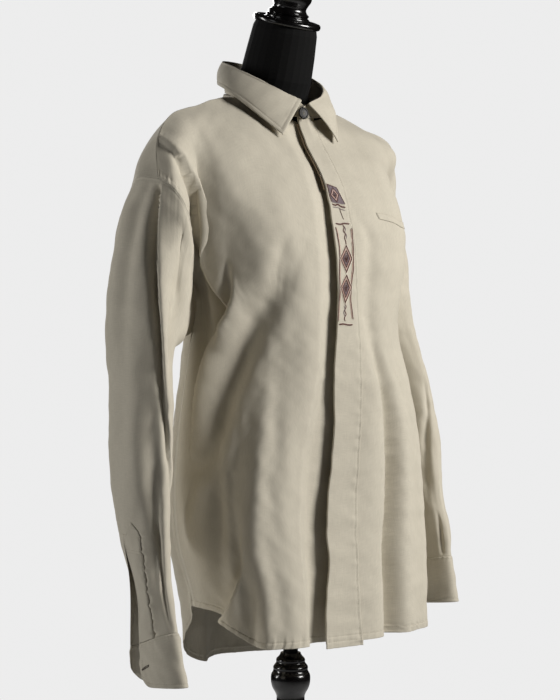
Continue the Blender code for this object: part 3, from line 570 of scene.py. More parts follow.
# The body's plan at each height: z, the centre's y in front and behind, and each side seam's x and y.
BODY_ROWS = (
    (1.073, -0.1235, 0.104, 0.155, 0.020, 0.1505, 0.0331),
    (1.000, -0.1200, 0.101, 0.163, 0.028, 0.180, 0.024),
    (0.930, -0.1140, 0.103, 0.170, 0.034, 0.197, 0.016),
    (0.860, -0.1090, 0.107, 0.174, 0.036, 0.205, 0.010),
    (0.790, -0.1070, 0.112, 0.168, 0.036, 0.210, 0.006),
    (0.720, -0.1070, 0.118, 0.146, 0.036, 0.213, 0.003),
    (0.590, -0.1080, 0.124, 0.128, 0.034, 0.215, 0.000),
)
BOXINESS = {("front", RIGHT): 0.80, ("front", LEFT): 0.78, ("back", RIGHT): 0.96, ("back", LEFT): 0.86}
# The armhole from the underarm, up the front and down the back: its share, and the place out, y, z.
ARMHOLE = (
    (0.00, 0.155, 0.020, 1.073), (0.09, 0.170, -0.010, 1.128), (0.18, 0.195, -0.046, 1.190),
    (0.25, 0.224, -0.064, 1.237), (0.36, 0.249, -0.040, 1.272), (0.50, 0.255, 0.000, 1.276),
    (0.64, 0.240, 0.040, 1.264), (0.75, 0.214, 0.064, 1.228), (0.83, 0.194, 0.062, 1.180),
    (0.91, 0.173, 0.046, 1.122), (1.00, 0.155, 0.020, 1.073),
)
YOKE_FRONT_SHARE, YOKE_BACK_SHARE = 0.36, 0.64
COLUMNS_U = (0.00, 0.16, 0.34, 0.58, 0.74, 0.87, 1.00)
NECK_U = 0.34
SHOULDER_SEAM = ((0.077, 0.030, 1.400), (0.150, 0.016, 1.381), (0.200, 0.006, 1.362), (0.235, -0.016, 1.323))
NECK_FRONT = ((0.000, -0.0395, 1.3655), (0.046, -0.020, 1.3775))
NECK_BACK = ((0.000, 0.108, 1.418), (0.048, 0.092, 1.415))
FRONT_CHEST = (
    (0.30, (0.000, -0.053, 1.334), (0.048, -0.048, 1.338), (0.098, -0.030, 1.352), (0.160, -0.018, 1.353),
     (0.200, -0.030, 1.334), (0.228, -0.046, 1.299)),
    (0.24, (0.000, -0.0935, 1.275), (0.050, -0.092, 1.277), (0.104, -0.082, 1.284), (0.170, -0.060, 1.288),
     (0.190, -0.036, 1.283), (0.208, -0.046, 1.258)),
    (0.165, (0.000, -0.1110, 1.215), (0.052, -0.113, 1.216), (0.112, -0.106, 1.217), (0.164, -0.068, 1.218),
     (0.177, -0.038, 1.212), (0.183, -0.036, 1.200)),
    (0.080, (0.000, -0.1200, 1.150), (0.052, -0.122, 1.150), (0.108, -0.112, 1.150), (0.156, -0.064, 1.148),
     (0.163, -0.038, 1.145), (0.1665, -0.021, 1.138)),
)
BACK_SEAM = ((0.000, 0.126, 1.315), (0.048, 0.126, 1.315), (0.096, 0.123, 1.312), (0.156, 0.108, 1.304),
             (0.192, 0.090, 1.294), (0.218, 0.066, 1.281))
BACK_CHEST = (
    (0.72, (0.000, 0.131, 1.255), (0.048, 0.131, 1.255), (0.100, 0.126, 1.254), (0.156, 0.108, 1.252),
     (0.184, 0.088, 1.248), (0.204, 0.076, 1.246)),
    (0.82, (0.000, 0.126, 1.185), (0.048, 0.126, 1.185), (0.098, 0.118, 1.184), (0.150, 0.092, 1.184),
     (0.170, 0.070, 1.183), (0.184, 0.064, 1.181)),
    (0.91, (0.000, 0.114, 1.125), (0.046, 0.114, 1.125), (0.094, 0.104, 1.125), (0.138, 0.078, 1.124),
     (0.155, 0.060, 1.123), (0.166, 0.052, 1.122)),
)
YOKE_MIDDLE = ((0.000, 0.121, 1.370), (0.050, 0.114, 1.370), (0.100, 0.084, 1.375), (0.156, 0.062, 1.360),
               (0.198, 0.048, 1.340), (0.233, 0.028, 1.307))
HEM_FRONT_Z, HEM_SIDE_Z, HEM_BACK_Z = 0.655, 0.700, 0.609
LEFT_EDGE_U, RIGHT_EDGE_U = -0.05, -0.075
# How deep the right front lies under the left one, at each height.
LAP_ROWS = ((1.40, 0.0048), (1.30, 0.0054), (1.20, 0.0070), (1.00, 0.0090), (0.80, 0.0120), (0.60, 0.0150))
COTTON_THICK = 0.0008
HEM_DEPTH, FELLED_WIDE = 0.0085, 0.0085
HALF_BREADTH = 0.27
CREASE_DEPTH = 1.4
BLENDED_ROWS, BLEND_ROUNDS = 15, 40


def body_section(u, z, side, face):
    """Plan position on the body at u (0 centre, 1 side seam) and height z."""
    row = along_table(BODY_ROWS, z)
    centre_y = row[..., 0] if face == "front" else row[..., 1]
    seam_x = row[..., 4] if side == LEFT else row[..., 2]
    seam_y = row[..., 5] if side == LEFT else row[..., 3]
    turn = np.pi / 2 * np.abs(u)
    power = BOXINESS[face, side]
    if (face, side) == ("front", RIGHT):
        power = power - 0.20 * ease((1.05 - z) / 0.16)
    x = seam_x * np.sin(turn) ** power * np.where(u < 0, -1, 1)
    y = seam_y + (centre_y - seam_y) * np.abs(np.cos(turn)) ** power
    return np.stack([x, y], axis=-1)


def armhole(share):
    return along_table(ARMHOLE, share)


def hang(points, side):
    """Sets a right-hand net on its own side. The left arm hangs lower and further back."""
    points = np.array(points, float)
    if side == LEFT:
        lean = ease((points[..., 0] - 0.12) / 0.12) * ease((1.375 - points[..., 2]) / 0.10)
        drop = ease((points[..., 0] - 0.08) / 0.10) * ease((points[..., 2] - 1.22) / 0.10)
        points[..., 0] -= 0.030 * lean + 0.007 * drop
        points[..., 2] -= 0.0095 * drop
        points[..., 1] += 0.064 * lean
    points[..., 0] *= side
    return points


def hem_height(u, face, side):
    """The shirt-tail hem: low at the middle, rising to the side seam, later on the right of the back."""
    u = np.abs(u)
    if face == "back":
        start = 0.25 if side == LEFT else 0.25 + 0.24 * ease(u / 0.7)
        return HEM_BACK_Z + (HEM_SIDE_Z - HEM_BACK_Z) * ease((u - start) / (1 - start))
    return HEM_FRONT_Z + (HEM_SIDE_Z - HEM_FRONT_Z) * ease((u - 0.55) / 0.45)


def upper_net(top_row, chest, side, face):
    net = [hang(top_row, side)]
    for share, *places in chest:
        net.append(hang(np.vstack([places, armhole(share)]), side))
    u = np.array(COLUMNS_U)
    under = body_section(u, np.full(len(u), UNDERARM_Z), side, face)
    under[:, 0] *= side
    net.append(np.hstack([under, np.full((len(u), 1), UNDERARM_Z)]))
    return np.array(net)


def across_net(net, places, u):
    """Points of a control net at the given shares of its rows and the places u."""
    drops = np.arange(len(net)) / (len(net) - 1)
    return np.stack([spline(COLUMNS_U, row, np.abs(u)) for row in spline(drops, net, places)])


UPPER_SHARES = np.concatenate([np.linspace(0, 0.022, 6)[:-1], np.linspace(0.022, 1, 66)])
LOWER_SHARES = np.concatenate([np.linspace(0, 0.970, 118)[1:-1], np.linspace(0.970, 1, 13)])
HALF_U = np.concatenate([np.linspace(0, NECK_U, 34)[:-1], np.linspace(NECK_U, 0.968, 58)[:-1],
                         np.linspace(0.968, 1, 7)])
YOKE_SHARES = np.linspace(0, 1, 33)
NECK_COLUMN = 33


# The left front's folded edge isn't quite straight below the chest: it moves this far in u at each z.
EDGE_SHIFT = ((1.075, 0.000), (1.010, 0.008), (0.956, 0.021), (0.902, 0.021), (0.848, 0.012), (0.797, 0.012),
              (0.766, 0.020), (0.715, 0.012), (0.590, 0.012))


def body_grid(top_row, chest, side, face, u):
    upper = across_net(upper_net(top_row, chest, side, face), UPPER_SHARES, u)
    upper[..., 0] *= np.where(u < 0, -1, 1)
    share = LOWER_SHARES[:, None]
    z = (1 - share) * UNDERARM_Z + share * hem_height(u, face, side)[None]
    u = np.broadcast_to(u, z.shape)
    if (side, face) == (LEFT, "front"):
        moved = along_table(EDGE_SHIFT, z)
        u = u + moved * ease((0.10 - u) / 0.15)
    plan = body_section(u, z, side, face)
    plan[..., 0] *= side
    grid = np.concatenate([upper, np.concatenate([plan, z[..., None]], axis=2)])
    # The chest runs into the skirt with no break at the underarm.
    reach = ease(1 - np.abs(np.arange(len(grid)) - len(upper) + 1) / BLENDED_ROWS)[1:-1, None]
    share = (reach * ease((1 - np.abs(u[0])) / 0.15)[None])[..., None]
    for _ in range(BLEND_ROUNDS):
        grid[1:-1] += ((grid[:-2] + grid[2:]) / 2 - grid[1:-1]) * share
    return grid


RIGHT_FRONT_CREASES = {
    "armhole_valley": (
        (0.86, 1.335, 0.001, 0.040, 0.000, 0.010), (0.84, 1.285, 0.008, 0.050, -0.004, 0.010),
        (0.82, 1.250, 0.012, 0.055, -0.006, 0.010), (0.84, 1.222, 0.013, 0.055, -0.008, 0.012),
        (0.83, 1.190, 0.012, 0.055, -0.010, 0.015), (0.78, 1.150, 0.008, 0.045, -0.013, 0.020),
        (0.72, 1.116, 0.006, 0.030, -0.012, 0.022), (0.74, 1.085, 0.003, 0.028, -0.006, 0.020),
        (0.79, 1.050, 0.000, 0.028, 0.000, 0.018)),
    "pinched_fold": soft((0.56, 1.170, 0, 0.004), (0.58, 1.155, -0.004, 0.0055),
                         (0.62, 1.132, -0.006, 0.0065), (0.69, 1.105, -0.005, 0.007),
                         (0.74, 1.085, 0, 0.007)),
    "long_ridge": (
        (0.55, 1.150, 0.000, 0.024, 0.000, 0.012), (0.595, 1.124, 0.006, 0.028, -0.005, 0.014),
        (0.715, 1.092, 0.011, 0.030, -0.009, 0.018), (0.825, 1.061, 0.013, 0.032, -0.011, 0.020),
        (0.865, 1.031, 0.013, 0.034, -0.011, 0.020), (0.895, 0.996, 0.012, 0.034, -0.010, 0.020),
        (0.910, 0.965, 0.010, 0.032, -0.008, 0.020), (0.935, 0.923, 0.006, 0.030, -0.004, 0.018),
        (0.955, 0.890, 0.000, 0.030, 0.000, 0.018)),
    "long_trough": soft((0.200, 1.200, 0, 0.012), (0.275, 1.158, -0.005, 0.014),
                        (0.345, 1.127, -0.009, 0.017), (0.425, 1.103, -0.011, 0.019),
                        (0.535, 1.077, -0.012, 0.021), (0.655, 1.029, -0.013, 0.022),
                        (0.705, 0.996, -0.013, 0.022), (0.785, 0.933, -0.011, 0.022),
                        (0.850, 0.904, -0.008, 0.020), (0.920, 0.864, -0.004, 0.020),
                        (0.960, 0.830, 0, 0.020)),
    "short_trough": soft((0.27, 1.205, 0, 0.007), (0.30, 1.185, -0.003, 0.009), (0.32, 1.170, -0.004, 0.010),
                         (0.37, 1.144, -0.003, 0.011), (0.41, 1.120, 0, 0.012)),
    "centre_swell": soft((0.20, 1.120, 0, 0.028), (0.22, 1.000, 0.004, 0.030), (0.24, 0.900, 0.006, 0.032),
                         (0.25, 0.800, 0.006, 0.034), (0.26, 0.640, 0.006, 0.034)),
    "corner_ridge": soft((0.40, 1.040, 0, 0.018), (0.42, 0.980, 0.004, 0.020), (0.41, 0.918, 0.006, 0.022),
                         (0.42, 0.851, 0.007, 0.022), (0.44, 0.787, 0.007, 0.022),
                         (0.45, 0.640, 0.006, 0.022)),
    "low_valley": soft((0.56, 0.960, 0, 0.022), (0.60, 0.900, -0.006, 0.024), (0.61, 0.820, -0.008, 0.025),
                       (0.60, 0.740, -0.006, 0.025), (0.60, 0.640, -0.004, 0.025)),
    "flare_edge": (
        (0.53, 0.850, 0.000, 0.022, 0.000, 0.022), (0.540, 0.800, 0.003, 0.024, -0.003, 0.024),
        (0.580, 0.765, 0.005, 0.026, -0.006, 0.026), (0.660, 0.740, 0.008, 0.028, -0.009, 0.026),
        (0.760, 0.712, 0.008, 0.030, -0.009, 0.022), (0.880, 0.685, 0.005, 0.030, -0.005, 0.020)),
    "armpit_valley": soft((0.90, 1.245, 0, 0.010), (0.93, 1.200, -0.008, 0.013), (0.94, 1.150, -0.012, 0.015),
                          (0.93, 1.100, -0.011, 0.016), (0.94, 1.050, -0.008, 0.016),
                          (0.95, 1.000, -0.003, 0.016), (0.95, 0.960, 0, 0.016)),
    "side_hollow": soft((0.76, 0.930, 0, 0.020), (0.75, 0.876, -0.007, 0.022), (0.75, 0.823, -0.011, 0.023),
                        (0.79, 0.769, -0.010, 0.022), (0.87, 0.712, -0.004, 0.020), (0.90, 0.69, 0, 0.02)),
    "side_ripple": soft((0.875, 0.900, 0, 0.011), (0.90, 0.860, 0.005, 0.013), (0.93, 0.820, 0.005, 0.013),
                        (0.95, 0.770, 0, 0.013)),
    "shoulder_drag": soft((0.60, 1.325, 0, 0.012), (0.62, 1.290, -0.001, 0.014),
                          (0.60, 1.240, -0.0012, 0.016), (0.55, 1.200, -0.001, 0.016),
                          (0.52, 1.180, 0, 0.016)),
}
LEFT_FRONT_CREASES = {
    "chest_ripple": soft((0.07, 1.240, 0, 0.008), (0.14, 1.205, -0.0025, 0.009),
                         (0.135, 1.170, -0.003, 0.010), (0.120, 1.102, -0.003, 0.011),
                         (0.156, 1.051, -0.006, 0.012), (0.240, 0.985, -0.010, 0.013),
                         (0.265, 0.912, -0.014, 0.013), (0.265, 0.842, -0.017, 0.013),
                         (0.240, 0.772, -0.018, 0.013), (0.250, 0.703, -0.018, 0.013),
                         (0.250, 0.620, -0.017, 0.013)),
    "inner_swell": soft((0.34, 1.000, 0, 0.018), (0.37, 0.920, 0.004, 0.020), (0.37, 0.800, 0.005, 0.022),
                        (0.36, 0.640, 0.005, 0.022)),
    "placket_swell": soft((0.10, 1.120, 0, 0.020), (0.12, 1.000, 0.003, 0.022), (0.13, 0.850, 0.005, 0.026),
                          (0.13, 0.640, 0.005, 0.026)),
    "outer_swell": soft((0.48, 1.140, 0, 0.024), (0.53, 1.000, 0.005, 0.028), (0.57, 0.850, 0.008, 0.032),
                        (0.58, 0.640, 0.008, 0.034)),
    "side_trough": soft((0.72, 1.060, 0, 0.018), (0.74, 0.950, -0.006, 0.022), (0.77, 0.800, -0.009, 0.026),
                        (0.78, 0.650, -0.009, 0.026)),
}
BACK_CREASES = {
    "right_blade_trough": soft((-0.34, 1.260, 0, 0.018), (-0.38, 1.140, -0.008, 0.022),
                               (-0.42, 0.950, -0.013, 0.026), (-0.44, 0.750, -0.012, 0.030),
                               (-0.45, 0.580, -0.012, 0.032)),
    "middle_swell": soft((-0.10, 1.250, 0, 0.022), (-0.10, 1.050, 0.007, 0.028), (-0.12, 0.800, 0.009, 0.034),
                         (-0.13, 0.580, 0.009, 0.036)),
    "middle_trough": (
        (0.13, 1.270, 0.000, 0.016, 0.000, 0.020), (0.12, 1.100, -0.008, 0.018, -0.008, 0.026),
        (0.14, 0.900, -0.012, 0.020, -0.012, 0.030), (0.15, 0.720, -0.012, 0.024, -0.012, 0.034),
        (0.16, 0.580, -0.011, 0.026, -0.011, 0.036)),
    "left_blade_swell": soft((0.36, 1.200, 0, 0.022), (0.37, 1.000, 0.008, 0.028),
                             (0.39, 0.800, 0.010, 0.032), (0.40, 0.580, 0.010, 0.034)),
    "left_drag": soft((0.44, 1.250, 0, 0.010), (0.54, 1.170, -0.005, 0.014), (0.64, 1.100, -0.008, 0.018),
                      (0.66, 0.950, -0.010, 0.024), (0.68, 0.780, -0.010, 0.028),
                      (0.69, 0.600, -0.009, 0.028)),
    "right_drag": soft((-0.50, 1.230, 0, 0.010), (-0.60, 1.150, -0.004, 0.012), (-0.72, 1.090, -0.004, 0.014),
                       (-0.82, 1.050, 0, 0.014)),
    "right_side_swell": soft((-0.62, 1.020, 0, 0.022), (-0.64, 0.880, 0.007, 0.028),
                             (-0.66, 0.720, 0.009, 0.032), (-0.67, 0.600, 0.008, 0.032)),
    "right_side_trough": soft((-0.80, 0.980, 0, 0.014), (-0.82, 0.860, -0.006, 0.018),
                              (-0.84, 0.740, -0.007, 0.020), (-0.85, 0.620, -0.006, 0.020)),
}


def pucker(s, size, seed, wave=0.009):
    """The uneven ripple that a line of stitching draws into washed cotton."""
    rng = np.random.default_rng(seed)
    total = 0
    for k in (1.0, 0.63, 1.71):
        total = total + np.sin(s * 2 * np.pi * k / wave + rng.uniform(0, 6.28) + 1.3 * np.sin(s / 0.031 * k))
    return size * total / 2


def turn_hem(cloth, seed):
    """Turns the narrow stitched hem: a thicker band with a puckered seam line above it."""
    d, s = from_hem(cloth.grid), along_rows(cloth.grid)
    band = 0.0005 * ease((HEM_DEPTH - d) / 0.0012)
    groove = -0.0004 * np.exp(-(((d - HEM_DEPTH) / 0.0011) ** 2))
    ripple = pucker(s, 0.0009, seed) * np.exp(-(((d - 0.006) / 0.0075) ** 2))
    cloth.push(band + groove + ripple)


def felled(cloth, column, rows, seed):
    """The flat-felled armhole seam on the body: a slightly raised band, puckered by its stitches."""
    grid = cloth.grid[:rows]
    edge = np.linalg.norm(grid - grid[:, column][:, None], axis=2)
    down = run_along(grid[:, column])
    band = 0.0006 * ease((FELLED_WIDE - edge) / 0.0016) * ease(edge / 0.0012)
    ripple = pucker(down, 0.0008, seed, 0.012)[:, None] * np.exp(-(((edge - 0.007) / 0.006) ** 2))
    height = np.zeros(cloth.grid.shape[:2])
    height[:rows] = band + ripple
    if rows < len(height):
        height[:rows] *= ease((rows - 1 - np.arange(rows)) / 4)[:, None]
    cloth.push(height)


def fold_body(cloth, u, creases, seed):
    z = cloth.grid[..., 2]
    below = ease((UNDERARM_Z + 0.03 - z) / 0.05)
    seams = 1 - below * (1 - ease((1 - np.abs(u[None])) / 0.07))
    height = creased(u[None], z, creases, HALF_BREADTH) * CREASE_DEPTH
    s = u[None] * HALF_BREADTH
    cloth.push((height + rumple(s, z, seed)) * seams)


BODY_MIDDLE = np.array([0, 0.01, 0.95])
front_top = np.array([*NECK_FRONT, *SHOULDER_SEAM, armhole(YOKE_FRONT_SHARE)])
back_top = np.array([*BACK_SEAM, armhole(YOKE_BACK_SHARE)])
yoke_top = np.array([*NECK_BACK, *SHOULDER_SEAM, armhole(YOKE_FRONT_SHARE)])
yoke_mid = np.array([*YOKE_MIDDLE, armhole(0.50)])

fronts, front_u = {}, {}
for side, edge_u, creases in ((RIGHT, RIGHT_EDGE_U, RIGHT_FRONT_CREASES),
                              (LEFT, LEFT_EDGE_U, LEFT_FRONT_CREASES)):
    u = np.concatenate([np.linspace(edge_u, 0, 9)[:-1], HALF_U])
    cloth = Cloth(body_grid(front_top, FRONT_CHEST, side, "front", u), BODY_MIDDLE)
    fold_body(cloth, u, creases, 3 if side == RIGHT else 4)
    fronts[side], front_u[side] = cloth, u

both_u = np.concatenate([-HALF_U[:0:-1], HALF_U])
halves = [body_grid(back_top, BACK_CHEST, side, "back", HALF_U) for side in (RIGHT, LEFT)]
back = Cloth(np.concatenate([halves[0][:, :0:-1], halves[1]], axis=1), BODY_MIDDLE)
top_fade = ease(np.concatenate([UPPER_SHARES / 0.25, np.ones(len(LOWER_SHARES))]))[:, None]
armhole_fade = ease((1 - np.abs(both_u)) / 0.08)[None]
height = creased(both_u[None], back.grid[..., 2], BACK_CREASES, HALF_BREADTH)
height += rumple(both_u[None] * HALF_BREADTH, back.grid[..., 2], 5)
back.push(height * top_fade * armhole_fade)

yoke_halves = []
for side in (RIGHT, LEFT):
    rows = np.array([hang(row, side) for row in (yoke_top, yoke_mid, back_top)])
    half = across_net(rows, YOKE_SHARES, HALF_U)
    extra = len(front_u[side]) - len(HALF_U)
    moved = fronts[side].grid[0, extra + NECK_COLUMN:] - half[0, NECK_COLUMN:]
    half[:, NECK_COLUMN:] += moved[None] * (1 - ease(YOKE_SHARES / 0.6))[:, None, None]
    yoke_halves.append(half)
yoke = Cloth(np.concatenate([yoke_halves[0][:, :0:-1], yoke_halves[1]], axis=1), BODY_MIDDLE)

lap = fronts[RIGHT]
lap_depth = along_table(LAP_ROWS, lap.grid[..., 2])
lap.push(-CREASE_DEPTH * lap_depth * ease((0.15 - front_u[RIGHT]) / 0.09)[None])

for side in (RIGHT, LEFT):
    felled(fronts[side], -1, len(UPPER_SHARES), 22 + int(side))
    felled(back, -1 if side == LEFT else 0, len(UPPER_SHARES), 32 + int(side))

# The sleeves are cut wide and hang empty from dropped shoulders, each in two or three long folds.
# A ring is q = 0 at the underarm, 0.25 at the front and 0.5 outermost. A row gives its drop down the
# sleeve, its middle (out, y, z), its half breadth and half depth, and its tilt and rake.
SLEEVE_ROWS = {
    RIGHT: (
        (0.14, 0.224, 0.012, 1.146, 0.037, 0.064, 0.086, 0.0),
        (0.30, 0.244, 0.013, 1.075, 0.031, 0.071, 0.036, 0.0),
        (0.45, 0.244, 0.012, 0.985, 0.030, 0.067, 0.008, 0.0),
        (0.60, 0.246, 0.010, 0.880, 0.029, 0.062, 0.000, 0.0),
        (0.74, 0.242, 0.004, 0.802, 0.021, 0.052, 0.000, 0.0),
        (0.87, 0.243, -0.0125, 0.742, 0.019, 0.041, 0.000, 0.1),
        (1.00, 0.244, -0.020, 0.673, 0.015, 0.052, 0.000, 0.29),
    ),
    LEFT: (
        (0.14, 0.215, 0.071, 1.146, 0.037, 0.057, 0.084, 0.0),
        (0.30, 0.238, 0.078, 1.080, 0.031, 0.060, 0.034, 0.0),
        (0.45, 0.258, 0.060, 0.995, 0.030, 0.060, 0.008, 0.0),
        (0.60, 0.269, 0.044, 0.900, 0.029, 0.057, 0.000, 0.0),
        (0.74, 0.268, 0.026, 0.836, 0.021, 0.046, 0.000, 0.0),
        (0.87, 0.269, 0.006, 0.790, 0.019, 0.040, 0.000, 0.05),
        (1.00, 0.267, -0.002, 0.740, 0.015, 0.040, 0.000, 0.15),
    ),
}
SLEEVE_GIRTH = 0.34
SLIT_SHARE, SLIT_Q, SLIT_REAR_Q = 0.74, 0.57, 0.5701
RIGHT_SLEEVE_CREASES = {
    "front_lap": (
        (0.350, 1.262, 0.005, 0.018, -0.012, 0.010), (0.366, 1.206, 0.006, 0.018, -0.017, 0.011),
        (0.345, 1.144, 0.006, 0.018, -0.018, 0.011), (0.305, 1.076, 0.006, 0.018, -0.016, 0.011),
        (0.275, 0.986, 0.004, 0.018, -0.008, 0.012), (0.215, 0.906, 0.002, 0.018, -0.004, 0.012),
        (0.190, 0.860, 0.000, 0.018, 0.000, 0.012)),
    "inner_front": soft((0.25, 1.225, 0, 0.012), (0.235, 1.180, -0.010, 0.015), (0.22, 1.110, -0.013, 0.017),
                        (0.20, 1.040, -0.009, 0.017), (0.18, 0.970, 0, 0.018)),
    "outer_valley": soft((0.415, 1.266, -0.002, 0.008), (0.455, 1.240, -0.005, 0.010),
                         (0.475, 1.199, -0.006, 0.012), (0.485, 1.145, -0.006, 0.013),
                         (0.485, 1.084, -0.004, 0.013), (0.480, 1.030, 0, 0.013)),
    "middle_swell": soft((0.43, 1.100, 0, 0.016), (0.42, 1.000, 0.005, 0.018), (0.41, 0.900, 0.006, 0.020),
                         (0.42, 0.820, 0, 0.018)),
    "elbow_trough": soft((0.36, 1.000, 0, 0.012), (0.34, 0.930, -0.005, 0.014), (0.33, 0.860, -0.007, 0.014),
                         (0.35, 0.790, -0.005, 0.012), (0.38, 0.720, 0, 0.010)),
    "wrist_tuck": soft((0.345, 0.835, 0, 0.006), (0.330, 0.810, -0.006, 0.007), (0.31, 0.770, -0.006, 0.007),
                       (0.31, 0.720, -0.003, 0.007), (0.31, 0.690, 0, 0.007)),
    "back_valley": soft((0.74, 1.230, 0, 0.014), (0.73, 1.150, -0.009, 0.018), (0.70, 1.000, -0.010, 0.020),
                        (0.68, 0.880, -0.006, 0.020), (0.67, 0.800, 0, 0.018)),
    "back_ripple": soft((0.88, 1.120, 0, 0.010), (0.86, 1.040, -0.005, 0.012), (0.84, 0.950, -0.005, 0.014),
                        (0.83, 0.860, 0, 0.014)),
}
LEFT_SLEEVE_CREASES = {
    "front_lap": (
        (0.330, 1.262, 0.002, 0.018, -0.004, 0.010), (0.350, 1.200, 0.004, 0.018, -0.008, 0.011),
        (0.330, 1.130, 0.004, 0.018, -0.009, 0.012), (0.300, 1.050, 0.003, 0.018, -0.007, 0.012),
        (0.270, 0.980, 0.000, 0.018, 0.000, 0.012)),
    "elbow_fold": soft((0.25, 1.010, 0, 0.006), (0.235, 0.970, -0.004, 0.007), (0.19, 0.935, -0.005, 0.008),
                       (0.140, 0.870, -0.004, 0.009), (0.13, 0.820, 0, 0.009)),
    "wrist_fold": soft((0.17, 0.815, 0, 0.006), (0.160, 0.780, -0.004, 0.006), (0.156, 0.750, -0.002, 0.006)),
    "outer_valley": soft((0.47, 1.240, 0, 0.012), (0.50, 1.150, -0.007, 0.015), (0.49, 1.020, -0.008, 0.018),
                         (0.47, 0.900, -0.004, 0.018), (0.46, 0.840, 0, 0.018)),
    "back_valley": soft((0.76, 1.220, 0, 0.014), (0.74, 1.120, -0.010, 0.018), (0.71, 0.980, -0.009, 0.020),
                        (0.70, 0.880, 0, 0.018)),
    "slit_trough": soft((0.66, 0.920, 0, 0.014), (0.65, 0.860, -0.006, 0.014), (0.65, 0.800, -0.004, 0.012),
                        (0.65, 0.750, 0, 0.010)),
}


def sleeve_ring(q, side, out, y, z, half_out, half_deep, tilt, rake):
    turn = 2 * np.pi * np.asarray(q)
    forward = half_deep * np.sin(turn)
    height = z - tilt * np.cos(turn) + rake * forward
    return np.stack([side * (out - half_out * np.cos(turn)), y - forward, height], axis=-1)


SLEEVE_SHARES = np.concatenate([np.linspace(0, 0.022, 7)[:-1], np.linspace(0.022, SLIT_SHARE, 118)[:-1],
                                np.linspace(SLIT_SHARE, 0.985, 44)[:-1], np.linspace(0.985, 1, 7)])
upper = len(UPPER_SHARES)
front_q = spline(np.arange(6) / 5, [0.36, 0.30, 0.24, 0.165, 0.08, 0.0], UPPER_SHARES)
back_q = spline(np.arange(5) / 4, [0.64, 0.72, 0.82, 0.91, 1.0], UPPER_SHARES)
ring_q = np.concatenate([front_q[::-1], 0.36 + 0.28 * YOKE_SHARES[1:-1], back_q])
SLIT_COLUMN = int(np.argmin(np.abs(ring_q - SLIT_Q)))
order = np.concatenate([np.arange(SLIT_COLUMN, len(ring_q) - 1), np.arange(0, SLIT_COLUMN + 1)])
sleeve_q = ring_q[order]
slit_row = int(np.argmin(np.abs(SLEEVE_SHARES - SLIT_SHARE)))
sleeve_across = np.where(np.arange(len(order)) < len(ring_q) - 1 - SLIT_COLUMN, sleeve_q - 1, sleeve_q)
SLIT_OPENING = {RIGHT: (0.0030, -0.0055, 0.0), LEFT: (0.0, 0.0, 0.0)}
# How far the rear edge of the right slit has slipped back round the wrist, at each drop.
SLIPPED = {0.87: 0.24, 1.00: 0.36}


def slipped(q, side, drop):
    share = SLIPPED.get(drop, 0) if side == RIGHT else 0
    return np.where(np.asarray(q) > SLIT_Q + 1e-9, 1 - (1 - q) * (1 - share), q)


# The pointed placket over the slit: its inner edge, its point and its two corners as (q, z).
TOWERS = {
    RIGHT: {"inner": 0.436, "outer": 0.565, "point": (0.476, 0.826), "corners": (0.813, 0.808), "line": 0.788,
            "line_top": 0.815, "pucker": 0.0016},
    LEFT: {"inner": 0.436, "outer": 0.565, "point": (0.476, 0.862), "corners": (0.850, 0.846), "line": 0.826,
           "line_top": 0.850, "pucker": 0.0008},
}


def open_slit(side, across, z):
    """The front edge of the wrist slit stands away, so the inside of the rear edge shows."""
    top = 0.805 if side == RIGHT else 0.835
    share = ease((across - 0.38) / 0.17) * ease((top - z) / 0.09)
    return share[..., None] * np.array(SLIT_OPENING[side])


sleeves = {}
for side, creases in ((RIGHT, RIGHT_SLEEVE_CREASES), (LEFT, LEFT_SLEEVE_CREASES)):
    outer = -1 if side == LEFT else 0
    ring = np.concatenate([fronts[side].grid[upper - 1::-1, -1], yoke.grid[1:-1, outer],
                           back.grid[:upper, outer]])
    net = np.array([ring] + [sleeve_ring(slipped(ring_q, side, row[0]), side, *row[1:])
                             for row in SLEEVE_ROWS[side]])
    drops = [0, *(row[0] for row in SLEEVE_ROWS[side])]
    grid = spline(drops, net, SLEEVE_SHARES)[:, order]
    rear = np.array([ring[SLIT_COLUMN]] + [sleeve_ring(slipped(SLIT_REAR_Q, side, row[0]), side, *row[1:])
                                           for row in SLEEVE_ROWS[side]])
    grid[slit_row + 1:, 0] = spline(drops, rear, SLEEVE_SHARES)[slit_row + 1:]
    cloth = Cloth(grid, grid[:, :-1].mean(axis=1, keepdims=True), around=True, slit_row=slit_row)
    height = creased(sleeve_q[None], cloth.grid[..., 2], creases, SLEEVE_GIRTH)
    from_slit = np.abs((sleeve_q[None] - SLIT_Q + 0.5) % 1 - 0.5)
    uneven = rumple(sleeve_q[None] * SLEEVE_GIRTH, cloth.grid[..., 2], 7 if side == RIGHT else 8)
    height += uneven * ease(from_slit / 0.03)
    cloth.push(height * ease(SLEEVE_SHARES / 0.05)[:, None] * ease((1 - SLEEVE_SHARES) / 0.02)[:, None])
    down = from_top(cloth.grid)
    cloth.push(-0.0007 * np.exp(-(((down - 0.003) / 0.0018) ** 2)) * ease(down / 0.0015))
    z = cloth.grid[..., 2]
    tower = TOWERS[side]
    low = ease((tower["line_top"] - z) / 0.01)
    apart = (sleeve_across[None] - tower["inner"]) * SLEEVE_GIRTH
    drawn = pucker(z, tower["pucker"], 41, 0.014) * np.exp(-((apart / 0.007) ** 2))
    cloth.push(low * (drawn - 0.0010 * np.exp(-((apart / 0.0022) ** 2))))
    cloth.grid += open_slit(side, sleeve_across[None], cloth.grid[..., 2])
    cloth.face_again()
    sleeves[side] = cloth

